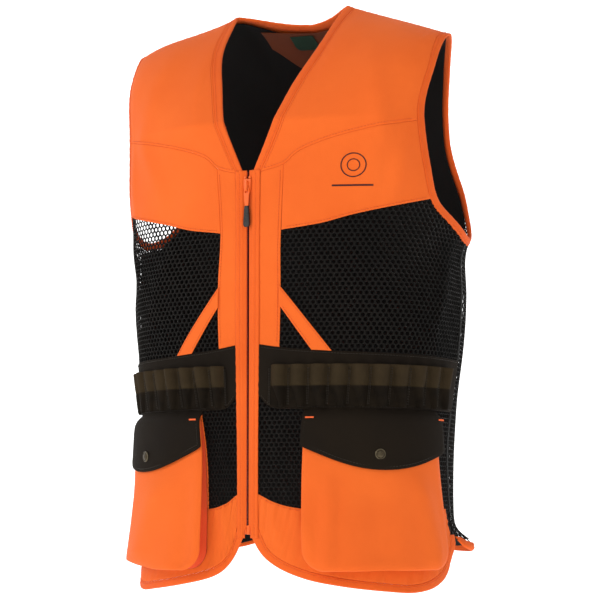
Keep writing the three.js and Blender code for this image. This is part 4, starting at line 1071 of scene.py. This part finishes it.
FLAP_SEWN = BELT_BOTTOM - 0.4  # where its upper edge is sewn down, just under the belt
flap_shares = edge_shares(pocket_width + 4, 2.6)
flap_rows = edge_shares(50, 2.6)
flap_around = POCKET_INNER - 2 + flap_shares * (pocket_width + 6)
corner_cut = 2.2 * (np.exp(-flap_shares * 60) + np.exp(-(1 - flap_shares) * 60))
flap_foot = flap_bottom(flap_shares) + corner_cut
flap_grid = np.stack([
    np.broadcast_to(flap_around[:, None], (len(flap_shares), len(flap_rows))),
    FLAP_SEWN + (flap_foot - FLAP_SEWN)[:, None] * flap_rows[::-1][None]], -1)
FLAP_INNER = CLOTH + 1.5  # heights above the pocket's own height
FLAP_OUTER = CLOTH + 3.9


def flap_lift(down):
    """Height of the flap, tucked in where it is sewn down."""
    tuck = 5.6 * np.exp(-np.clip(FLAP_TOP - down, -2, 99) / 4.0)
    return pocket_lift(down) - tuck


def turned(name, place, base, profile, sides=40):
    """A turned piece standing on the cloth at a place: its profile is [radius, height above the base]."""
    place = np.array(place, float)
    normal = outward(*place)
    sideways = unit(np.cross(normal, [0, 0, 1.0]))
    upright = np.cross(sideways, normal)
    middle = surface(*place) + normal * (base + drape(*place))
    angle = np.linspace(0, 2 * np.pi, sides, endpoint=False)[:, None, None]
    profile = np.array(profile, float)
    radius, height = profile[None, :, :1], profile[None, :, 1:]
    rings = middle + radius * (np.cos(angle) * sideways + np.sin(angle) * upright) + height * normal
    return rolled(name, rings.transpose(1, 0, 2))


CAP_PROFILE = [
    [5.0, 0], [6.0, 0.1], [6.15, 0.5], [6.0, 1.0], [5.5, 1.35], [5.1, 1.3], [4.8, 1.05], [4.4, 1.0],
    [4.0, 1.3], [3.2, 1.75], [2.0, 2.05], [0.9, 2.15], [0.25, 2.17]]
STUD_PROFILE = [[3.0, 0], [4.4, 0], [4.5, 0.4], [3.4, 0.6], [2.2, 0.7], [2.1, 1.5], [1.6, 1.8], [0.4, 1.85]]
snap_around = (POCKET_INNER + POCKET_OUTER) / 2

POCKET_HEIGHTS = (0.6, 2.8)
GUSSET_FOOT = 3.3  # height of the gusset's lower edge
GUSSET_HALF = 0.6
GUSSET_LEVEL = -600  # height of two points worked out off the gusset
TACK_AROUND = (POCKET_INNER + 7, POCKET_OUTER - 5)
stitch_shares = np.linspace(0, 1, 120)
flap_stitch_line = np.stack([
    POCKET_INNER + 1.6 + stitch_shares * (pocket_width - 1.2), flap_bottom(stitch_shares) + 3.6], -1)
flap_stitch_line = joined(
    straight([POCKET_INNER + 1.6, FLAP_TOP - 8], flap_stitch_line[0]), flap_stitch_line,
    straight(flap_stitch_line[-1], [POCKET_OUTER + 0.4, FLAP_TOP - 8]))

for side, word in SIDES:
    snap_place = [side * snap_around, SNAP_HEIGHT]
    placed = hung(pocket_grid, side)
    around, down = placed[..., 0], placed[..., 1]
    relief = pocket_lift(down) + pocket_relief(around, down, border_distance(placed))
    front = cloth(f"{word}_pocket_front_cloth", placed, *POCKET_HEIGHTS, relief)
    finished(front, ORANGE, f"{word}_pocket", nodes=[f"{word}_pocket_front"])

    heights = np.linspace(0, 1, 13)
    paths = np.stack([gusset_path(0.9 + 4.2 * math.sin(math.pi * h) ** 1.3) for h in heights], 1)
    placed_gusset = hung(paths, side)
    a, d = placed_gusset[..., 0], placed_gusset[..., 1]
    lift = GUSSET_FOOT + (pocket_lift(d) + 0.2 - GUSSET_FOOT) * heights[None] + drape(a, d)
    middle = surface(a, d) + outward(a, d) * lift[..., None]
    gusset = shell(f"{word}_gusset_cloth", middle, grid_normals(middle), GUSSET_HALF, placed_gusset)
    finished(gusset, GUSSET_PAINTED_SHADE, None, nodes=[f"{word}_pocket_gusset"])
    seat = surface(side * snap_around, GUSSET_LEVEL)
    out = outward(side * snap_around, GUSSET_LEVEL)
    start, end = ((seat + height * out) / 1000 for height in (4, 17))
    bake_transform(gusset)
    declare(placed)

    placed = hung(flap_grid[:, ::-1], side)
    down = placed[..., 1]
    edge_ease = -0.8 * (1 - np.clip(border_distance(placed) / 5, 0, 1)) ** 2
    wave = 0.5 * np.sin(placed[..., 0] / 13 + 2 * side) * np.clip((FLAP_TOP - down) / 40, 0, 1)
    flap = cloth(f"{word}_flap_cloth", placed, FLAP_INNER, FLAP_OUTER, flap_lift(down) + edge_ease + wave)
    finished(flap, OLIVE, None, nodes=[f"{word}_pocket_flap"])
    sewing = Threads()
    sewing.along(
        flipped(hung(flap_stitch_line, 1), side), lambda m: flap_lift(m[..., 1]) + FLAP_OUTER - 0.35)
    sewn = finished(sewing.piece(f"{word}_flap_stitching"), DARK_THREAD, None)
    tacks = Threads()
    for tack in TACK_AROUND:
        tacks.bar_tack(
            [side * tack, FLAP_TOP - 5], 4.6, 1.0, lambda m: flap_lift(m[..., 1]) + FLAP_OUTER - 0.1)
    tack_piece = finished(tacks.piece(f"{word}_flap_bar_tacks"), TACK_THREAD, None)
    start, end = (surface(side * snap_around, height) / 1000 for height in (FLAP_TOP, FLAP_TOP - 9))
    for piece in (flap, sewn, tack_piece):
        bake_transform(piece)
    declare(placed)

    cap_base = float(flap_lift(np.array(SNAP_HEIGHT))) + FLAP_OUTER - 0.2
    cap = turned(f"{word}_snap_cap_brass", snap_place, cap_base, CAP_PROFILE)
    finished(cap, BRASS, f"{word}_flap", nodes=[f"{word}_snap_cap"])
    stud_base = float(pocket_lift(np.array(SNAP_HEIGHT))) + 2.6
    stud = turned(f"{word}_snap_stud_brass", snap_place, stud_base, STUD_PROFILE, sides=28)
    finished(stud, BRASS, f"{word}_pocket", nodes=[f"{word}_snap_stud"])

# ---- back ----

back_shoulder = straight(shoulder_place(ARM_SEAM_AT_SHOULDER, behind=True), BACK_NECK_SEAM[0])
BACK_YOKE_CORNER = 388
yoke_side = spline(ARMHOLE_SEAM, 8, 11)
back_yoke_grid = panel(
    across_back(BACK_YOKE_CORNER, BACK_YOKE_SEAM),
    joined(back_shoulder, back_neck_seam, other_half(back_neck_seam)[::-1], other_half(back_shoulder)[::-1]),
    yoke_side, other_half(yoke_side), step=4.0)
relief = seam_puckers(back_yoke_grid, 0.5, 14, 5)
sewn_panel("back_yoke_cloth", back_yoke_grid, ORANGE, "back_yoke", relief=relief)

panel_side = spline(ARMHOLE_SEAM, 6.77, 8)
back_outline = joined(
    across_back(BACK_SIDE_SEAM, BACK_HEM + BINDING_WIDTH), other_half(panel_side),
    across_back(BACK_YOKE_CORNER, BACK_YOKE_SEAM)[::-1], panel_side[::-1])
net_piece("back_panel", back_outline)

LINING_FOOT = BACK_HEM + 5
LINING_EDGE = 312  # where the lining starts at its foot
LINING_AT_SHOULDER = 192
LINING_WING_FOOT = -444
LINING_HEIGHTS = (-3.4, -2.2)
LINING_WING_HEIGHTS = (-2.0, -0.9)
FACING_HEIGHTS = (-5.2, -4.0)
LABEL_HEIGHTS = (-6.6, -5.6)
SIZE_TAB_HEIGHTS = (-8.2, -7.4)
INNER_FOLDS = 0.6  # share of the vest's folds that the pieces inside it follow
lining_shoulder = shoulder_place(LINING_AT_SHOULDER, behind=True)
lining_armhole = spline([
    [298, -312], [300, -285], [322, -274], [350, -241], [385, -187], [398, -141], [394, -97],
    lining_shoulder])
lining_side = joined(straight([LINING_EDGE, LINING_FOOT], [298, -312]), lining_armhole)
lining_top = joined(straight(lining_shoulder, BACK_NECK_SEAM[0]), back_neck_seam)
lining_grid = panel(
    across_back(LINING_EDGE, LINING_FOOT), joined(lining_top, other_half(lining_top)[::-1]),
    lining_side, other_half(lining_side), step=6.0)
sewn_panel("back_lining_cloth", lining_grid, LINING, "back_lining", LINING_HEIGHTS, folds=INNER_FOLDS)
wing_top = spline([[238, -284], [256, -281], [304, -286]])
wing_grid = panel(straight([238, LINING_WING_FOOT], [304, LINING_WING_FOOT]), wing_top, step=5.0)
for side, word in SIDES:
    sewn_panel(f"{word}_lining_wing", sided(wing_grid, side), LINING, heights=LINING_WING_HEIGHTS)

facing_grid = panel(*(
    spline([[BACK_MIDDLE + a, d] for a, d in zip((-58, -30, 0, 30, 58), downs)])
    for downs in ((-50, -74, -80, -74, -50), (-26, -31, -34, -31, -26))))
sewn_panel("neck_facing_cloth", facing_grid, FACING_PAINTED_SHADE, "neck_facing", FACING_HEIGHTS, folds=INNER_FOLDS)


def rounded_panel(left, right, bottom, top, radius):
    """Grid of a rectangle with two rounded lower corners."""
    low = joined(*lower_corners(left, right, bottom, radius))
    return panel(low, straight([left, top], [right, top]), step=2.0)


label_grid = rounded_panel(BACK_MIDDLE - 3, BACK_MIDDLE + 27, -54, -36, 6)
sewn_panel("blank_neck_label", label_grid, LABEL, "neck_label", LABEL_HEIGHTS, folds=INNER_FOLDS)
tab_grid = rounded_panel(BACK_MIDDLE - 28, BACK_MIDDLE - 5, -78, -66, 2)
sewn_panel(
    "blank_size_tab", tab_grid, LABEL, "size_tab", SIZE_TAB_HEIGHTS, folds=INNER_FOLDS)

pouch_end = BACK_HEM + BINDING_WIDTH + 6


def pouch_lift(around, down):
    """Height of the game pouch's face, level at its edges and full in the middle."""
    sideways = np.abs(around - BACK_MIDDLE) / POUCH_HALF_WIDTH
    upward = np.clip((down - pouch_end) / (POUCH_TOP - pouch_end), 0, 1)
    swell = np.sqrt(np.clip(1 - sideways**4, 0, 1)) * np.minimum(1, np.sqrt(upward) * 1.3)
    return CLOTH + 1 + POUCH_BULGE * swell


def across_pouch(down):
    """Level line over the width of the game pouch."""
    return across_back(BACK_MIDDLE - POUCH_HALF_WIDTH, down)


POUCH_HEIGHTS = (0.4, 2.6)
POUCH_BAND_HEIGHTS = (0.2, 3.2)
pouch_grid = panel(across_pouch(pouch_end), across_pouch(POUCH_TOP), step=4.0)
around, down = pouch_grid[..., 0], pouch_grid[..., 1]
sag = 1.6 * np.sin((around - BACK_MIDDLE) / 24) * np.clip(border_distance(pouch_grid) / 30, 0, 1)
sewn_panel(
    "game_pouch_cloth", pouch_grid, ORANGE, "game_pouch", POUCH_HEIGHTS, pouch_lift(around, down) + sag)
pouch_band = panel(across_pouch(POUCH_TOP + 0.6), across_pouch(POUCH_TOP + 10), step=3.0)
relief = pouch_lift(pouch_band[..., 0], pouch_band[..., 1])
sewn_panel("pouch_edge_binding", pouch_band, OLIVE, "pouch_binding", POUCH_BAND_HEIGHTS, relief)
body_threads.along(trimmed(across_back(BACK_YOKE_CORNER, BACK_YOKE_SEAM + 2.6), 6, 6), STITCH_LIFT)
for line in (back_neck_seam, other_half(back_neck_seam)):
    body_threads.along(trimmed(line + [0, -2.4], 4, 0), STITCH_LIFT)

# ---- bound edges ----

neck_front = (spline(NECK_EDGE), spline(NECK_SEAM))
neck_back = (neck_half(BACK_NECK_EDGE), back_neck_seam)
neck_stretches = [
    tuple(line[::-1] for line in neck_front), neck_back,
    tuple(other_half(line)[::-1] for line in neck_back), tuple(flipped(line, -1) for line in neck_front)]
finished(binding_mesh("neck_roll", neck_stretches, seed=1.0), BINDING, nodes=["neck_binding"])


def back_hem_half(corner, height):
    """Half of a back hem line: round its corner, then level to the middle."""
    bend = [BACK_SIDE_SEAM + 20, height]
    return joined(spline(corner + [bend]), straight(bend, [BACK_MIDDLE, height]))


hem_half = (
    back_hem_half(
        [[SIDE_SEAM + 2, VENT_TOP - 2], [SIDE_SEAM + 9, BACK_HEM + 4], [SIDE_SEAM + 26, BACK_HEM - 2]],
        BACK_HEM),
    back_hem_half(
        [[SIDE_SEAM + 10, VENT_TOP - 3], [SIDE_SEAM + 16, BACK_HEM + 10], [SIDE_SEAM + 30, BACK_HEM + 7.5]],
        BACK_HEM + 8.6))
hem_stretches = [hem_half, tuple(other_half(line)[::-1] for line in hem_half)]
finished(binding_mesh("back_hem_roll", hem_stretches, seed=7.0), BINDING, nodes=["back_hem_binding"])
bound_edges = neck_stretches + hem_stretches
for side, word in SIDES:
    armhole = (flipped(spline(ARMHOLE_EDGE), side), flipped(spline(ARMHOLE_SEAM), side))
    hem = (flipped(spline(HEM_EDGE), side), flipped(spline(HEM_SEAM), side))
    for part, stretch, seed in (("armhole", armhole, side), ("front_hem", hem, 2 + side)):
        roll = binding_mesh(f"{word}_{part}_roll", [stretch], seed)
        finished(roll, BINDING, nodes=[f"{word}_{part}_binding"])
        bound_edges.append(stretch)
shares = np.linspace(0, 1, 300)
for edge, seam in bound_edges:
    edge, seam = at_shares(edge, shares), at_shares(seam, shares)
    body_threads.along(edge + (seam - edge) * BINDING_STITCHED, STITCH_LIFT)

# ---- zip ----

TAPE_SECTION = [  # [across from the zip line, height] of a tape folded over the front's edge
    [1.6, 0.2], [1.5, 1.2], [2.0, 1.8], [4.6, 1.9], [6.0, 2.9], [8.2, 3.7], [9.8, 3.1],
    [12.0, 3.7], [14.2, 3.9], [15.3, 3.4], [15.2, 2.9], [13.2, 2.75], [12.6, 0.4], [6.0, -0.1]]
TAPE_FOOT = ZIP_BOTTOM - 1
TAPE_TOP = ZIP_TOP + 4.5
TAPE_END = ZIP_BOTTOM + 9
tape_downs = np.linspace(TAPE_FOOT, TAPE_TOP, 190)
for side, word in SIDES:
    section = np.array(TAPE_SECTION)
    ripples = ripple(tape_downs * 0.75, 3.0 * side)[:, None]
    clear = np.where(tape_downs < TAPE_END + 1, 4.1, 0)[:, None]
    a = side * (np.maximum(section[None, :, 0], clear) + 0.22 * ripples * (section[None, :, 0] > 10))
    h = section[None, :, 1] + 0.16 * ripples * (section[None, :, 1] > 2)
    d = np.broadcast_to(tape_downs[:, None], a.shape)
    points = surface(a, d) + outward(a, d) * h[..., None]
    tape = rolled(f"{word}_zip_tape_cloth", points, np.stack([a, d], -1).reshape(-1, 2))
    finished(tape, BINDING, nodes=[f"{word}_zip_tape"])
    body_threads.along(straight([side * 9.9, TAPE_TOP - 2], [side * 9.9, TAPE_FOOT + 2]), 3.1)


def tube(name, path, radius, sides):
    """A round tube along a path of points, in millimetres."""
    along = unit(np.gradient(path, axis=0))
    sideways = unit(np.cross(along, np.array([0.13, 0.21, 0.97])))
    upright = np.cross(along, sideways)
    angle = np.linspace(0, 2 * np.pi, sides, endpoint=False)[None, :, None]
    rings = path[:, None] + radius * (np.cos(angle) * sideways[:, None] + np.sin(angle) * upright[:, None])
    return rolled(name, rings)


COIL_PITCH = 1.5
COIL_FOOT = TAPE_END + 5
COIL_WIRE = 0.34  # radius of the nylon
ZIP_Y = -FRONT_DEPTH
for side, word in SIDES:
    turns = (TAPE_TOP - 2 - COIL_FOOT) / COIL_PITCH
    angle = np.linspace(0, 2 * np.pi * turns, int(turns * 9))
    path = np.stack([
        side * (1.75 + 0.75 * np.cos(angle)), ZIP_Y + 0.5 + 0.9 * np.sin(angle),
        COIL_FOOT + COIL_PITCH * angle / (2 * np.pi)], -1)
    finished(tube(f"{word}_zip_coil", path, COIL_WIRE, 5), COIL, nodes=[f"{word}_zip_teeth"])


def plate(name, rings, origin, thickness, bevel, right=(1, 0, 0)):
    """A flat upright piece with rounded edges: closed outlines in its own plane, the first one outside."""
    curve = bpy.data.curves.new(name, "CURVE")
    curve.dimensions, curve.fill_mode = "2D", "BOTH"
    curve.extrude, curve.bevel_depth, curve.bevel_resolution = (thickness / 2 - bevel) / 1000, bevel / 1000, 2
    curve.offset = -bevel / 1000
    for ring in rings:
        line = curve.splines.new("POLY")
        line.points.add(len(ring) - 1)
        line.points.foreach_set("co", np.array([[x / 1000, y / 1000, 0, 1] for x, y in ring]).ravel())
        line.use_cyclic_u = True
    holder = bpy.data.objects.new(name, curve)
    mesh = bpy.data.meshes.new_from_object(holder)
    bpy.data.objects.remove(holder)
    right, up = Vector(right), Vector((0, 0, 1))
    turn = Matrix((right, up, right.cross(up))).transposed().to_4x4()
    mesh.transform(Matrix.Translation(Vector(origin) / 1000) @ turn)
    piece = bpy.data.objects.new(name, mesh)
    bpy.context.scene.collection.objects.link(piece)
    return piece


def rounded(corners, radius, steps=5):
    """A closed outline with its corners rounded."""
    corners = np.array(corners, float)
    out = []
    for before, corner, after in zip(np.roll(corners, 1, 0), corners, np.roll(corners, -1, 0)):
        cut = min(radius, np.linalg.norm(before - corner) / 2.2, np.linalg.norm(after - corner) / 2.2)
        start, end = corner + cut * unit(before - corner), corner + cut * unit(after - corner)
        for t in np.linspace(0, 1, steps):
            out.append((1 - t) ** 2 * start + 2 * t * (1 - t) * corner + t**2 * end)
    return out


def merged(name, parts, material, body, nodes):
    """Several meshes joined into one piece."""
    with bpy.context.temp_override(active_object=parts[0], selected_editable_objects=parts):
        bpy.ops.object.join()
    piece = parts[0]
    piece.name = name
    for polygon in piece.data.polygons:
        polygon.use_smooth = True
    return finished(piece, material, body, nodes=nodes)


SLIDER_TOP = ZIP_TOP - 5.6
FRONT_PLATE = 2.4
bridge_back = ZIP_Y - FRONT_PLATE - 1.6
bridge_z = SLIDER_TOP - 5
slider_outline = rounded([
    [-4.6, 0], [-2.0, 0.2], [2.0, 0.2], [4.6, 0], [4.5, -8], [3.5, -17], [-3.5, -17], [-4.5, -8]], 2.2)
slider_front = plate("slider_front", [slider_outline], (0, ZIP_Y - FRONT_PLATE - 0.8, SLIDER_TOP), 1.6, 0.45)
slider_back = plate("slider_back", [slider_outline], (0, ZIP_Y + 4.2, SLIDER_TOP), 1.2, 0.35)
slider_post = plate("slider_post", [rounded([[-0.55, -1], [0.55, -1], [0.55, -7], [-0.55, -7]], 0.4)],
                    (0, ZIP_Y + 0.6, SLIDER_TOP), 6.4, 0.1)
bridge_ring = rounded([
    [-0.3, 3], [3.5, 3], [3.5, -9], [-0.3, -9], [-0.3, -7.4], [2.3, -7.4], [2.3, 1.4], [-0.3, 1.4]], 1.1)
slider_bridge = plate("slider_bridge", [bridge_ring], (0, bridge_back, bridge_z), 2.4, 0.35, right=(0, -1, 0))
slider_parts = [slider_front, slider_back, slider_post, slider_bridge]
merged("zip_slider_cast", slider_parts, ENAMEL, "zip_slider", ["zip_slider"])

pull_z = bridge_z - 6.3
leaf_outline = rounded([[-2.7, 2.2], [2.7, 2.2], [3.2, -6], [2.3, -20], [-2.3, -20], [-3.2, -6]], 1.6)
leaf_hole = rounded([[-1.75, 0.75], [-1.75, -5], [1.75, -5], [1.75, 0.75]], 0.8)
leaf = plate("pull_leaf", [leaf_outline, leaf_hole], (0, bridge_back - 1.2, pull_z), 1.2, 0.3)
leaf_rib = plate("leaf_rib", [rounded([[-1.3, -7], [1.3, -7], [1.0, -18.5], [-1.0, -18.5]], 0.8)],
                 (0, bridge_back - 1.7, pull_z), 0.7, 0.2)
merged("zip_pull_leaf_cast", [leaf, leaf_rib], ENAMEL, "zip_pull", ["zip_pull_leaf"])
tab_outline = rounded([[-2.6, 0.2], [2.6, 0.2], [4, -21], [3, -24], [-3, -24], [-4, -21]], 1.6)
tab_z = pull_z - 20
tab = plate("pull_tab", [tab_outline], (0, bridge_back - 1.0, tab_z), 3.0, 0.8)
ribs = [plate(f"pull_rib_{k}", [rounded([[-w, z], [w, z], [w, z - 1.2], [-w, z - 1.2]], 0.5)],
              (0, bridge_back - 1.0, tab_z), 3.6, 0.3)
        for k, (w, z) in enumerate([(2.5, -8), (2.7, -11), (2.9, -14), (3.0, -17)])]
merged("zip_pull_rubber", [tab] + ribs, RUBBER, "zip_pull", ["zip_pull_tab"])
stop_outline = rounded([[-1.3, -1.3], [1.3, -1.3], [1.3, 1.3], [-1.3, 1.3]], 0.7)
for side, word in SIDES:
    stop_place = (side * 3.0, ZIP_Y - 3.0, ZIP_TOP - 3.7)
    stop = plate(f"{word}_top_stop_clip", [stop_outline], stop_place, 1.5, 0.35)
    merged(f"{word}_top_stop_clip", [stop], ENAMEL, "root", [f"{word}_zip_top_stop"])
box_z = (ZIP_BOTTOM + 3 + COIL_FOOT - 0.5) / 2
box = plate("bottom_box", [rounded([[-2.1, -5.1], [2.1, -5.1], [2.1, 5.1], [-2.1, 5.1]], 0.9)],
            (1.25, ZIP_Y + 0.2, box_z), 5.4, 0.6)
merged("zip_bottom_box_cast", [box], ENAMEL, "root", ["zip_bottom_box"])
pin = plate("insertion_pin", [rounded([[-0.85, -4.9], [0.85, -4.9], [0.85, 4.9], [-0.85, 4.9]], 0.6)],
            (-2.5, ZIP_Y, box_z), 3.1, 0.4)
merged("zip_insertion_pin_cast", [pin], ENAMEL, "root", ["zip_insertion_pin"])

# ---- sewing threads and the plain embroidered mark ----

finished(body_threads.piece("orange_topstitching"), ORANGE_THREAD)
finished(dark_threads.piece("dark_topstitching"), DARK_THREAD)
MARK_PLACE = np.array([119.0, -206.0])
MARK_LIFT = 2.7
MARK_RADIUS = 0.34
mark = Threads()
for inner_radius, outer_radius, total in ((12.6, 14.0, 150), (6.0, 7.2, 74)):
    turn = np.linspace(0, 2 * np.pi, total, endpoint=False)
    spokes = np.stack([np.cos(turn), np.sin(turn)], -1)
    starts, ends = MARK_PLACE + inner_radius * spokes, MARK_PLACE + outer_radius * spokes
    mark.add(lifted(starts, MARK_LIFT), lifted(ends, MARK_LIFT), outward(*starts.T), MARK_RADIUS, 0.2)
bar = MARK_PLACE + np.stack([np.linspace(-22, 22, 74), np.full(74, -24.0)], -1)
mark.add(
    lifted(bar, MARK_LIFT), lifted(bar + [0, 2.2], MARK_LIFT), outward(*bar.T), MARK_RADIUS, 0.2)
finished(mark.piece("plain_embroidered_mark"), MARK_THREAD)

# ---- scene: floor, light and camera ----


CAMERA_TURN = math.radians(25)  # how far the camera stands to the wearer's left of the front
PAPER = (0.9, 0.9, 0.9, 1)
SWEEP_RADIUS = 2  # of the curve between floor and backdrop, in metres
SWEEP_START = 3.0
FLOOR_LEVEL = -1.15


def paper_material():
    """Matt white paper that glows a little."""
    n = Nodes("studio_paper", None)
    plain = {"Base Color": PAPER, "Roughness": 0.9, "Emission Color": PAPER, "Emission Strength": 0.75}
    for key, value in plain.items():
        n.connect(n.shader.inputs[key], value)
    return n.material


def sweep():
    """A pale floor that curves up into a backdrop."""
    profile = [(-6, 0.0), (SWEEP_START, 0.0)]
    profile += [(SWEEP_START + SWEEP_RADIUS * math.sin(a), SWEEP_RADIUS - SWEEP_RADIUS * math.cos(a))
                for a in np.linspace(0.1, math.pi / 2, 12)]
    profile += [(SWEEP_START + SWEEP_RADIUS, 7.0)]
    right, back = (np.array([math.cos(CAMERA_TURN), math.sin(CAMERA_TURN), 0]),
                   np.array([-math.sin(CAMERA_TURN), math.cos(CAMERA_TURN), 0]))
    points = [
        1000 * (width * right + depth * back + np.array([0, 0, height + FLOOR_LEVEL]))
        for depth, height in profile for width in (-8, 8)]
    number = np.arange(len(points)).reshape(-1, 2)
    floor = new_object("studio_sweep", np.array(points), [grid_faces(number)[:, ::-1]])
    floor.data.materials.append(paper_material())


def area_light(name, place, target, size, power):
    data = bpy.data.lights.new(name, "AREA")
    data.shape, data.size, data.energy = "DISK", size, power
    light = bpy.data.objects.new(name, data)
    light.location = place
    light.rotation_euler = (Vector(target) - Vector(place)).to_track_quat("-Z", "Y").to_euler()
    bpy.context.scene.collection.objects.link(light)


CAMERA_DISTANCE = 2.6
CAMERA_HEIGHT = -0.600
VIEW_MIDDLE = -0.343
FOCAL_LENGTH = 131.1
SENSOR_WIDTH = 36
LENS_SHIFT = 0.08
camera_data = bpy.data.cameras.new("camera")
camera_data.lens, camera_data.sensor_width = FOCAL_LENGTH, SENSOR_WIDTH
camera_data.shift_y = LENS_SHIFT
camera = bpy.data.objects.new("camera", camera_data)
bpy.context.scene.collection.objects.link(camera)
eye = Vector((
    math.sin(CAMERA_TURN) * CAMERA_DISTANCE, -math.cos(CAMERA_TURN) * CAMERA_DISTANCE, CAMERA_HEIGHT))
camera.location = eye
view_height = VIEW_MIDDLE - LENS_SHIFT * SENSOR_WIDTH / FOCAL_LENGTH * CAMERA_DISTANCE
camera.rotation_euler = (Vector((0.0, 0.0, view_height)) - eye).to_track_quat("-Z", "Y").to_euler()
camera_data.clip_start, camera_data.clip_end = 0.1, 50
bpy.context.scene.camera = camera

sweep()
area_light("key", (-1.6, -2.6, 1.2), (0, 0, -0.3), 1.8, 46)
area_light("fill", (2.4, -2.2, 0.4), (0, 0, -0.35), 2.0, 16)
area_light("back", (0.6, 2.2, 1.4), (0, 0, -0.3), 1.6, 12)
world = bpy.data.worlds.new("studio")
world.use_nodes = True
world.node_tree.nodes["Background"].inputs[0].default_value = (1, 1, 1, 1)
world.node_tree.nodes["Background"].inputs[1].default_value = 0.55
bpy.context.scene.world = world
bpy.context.scene.view_settings.view_transform = "Standard"
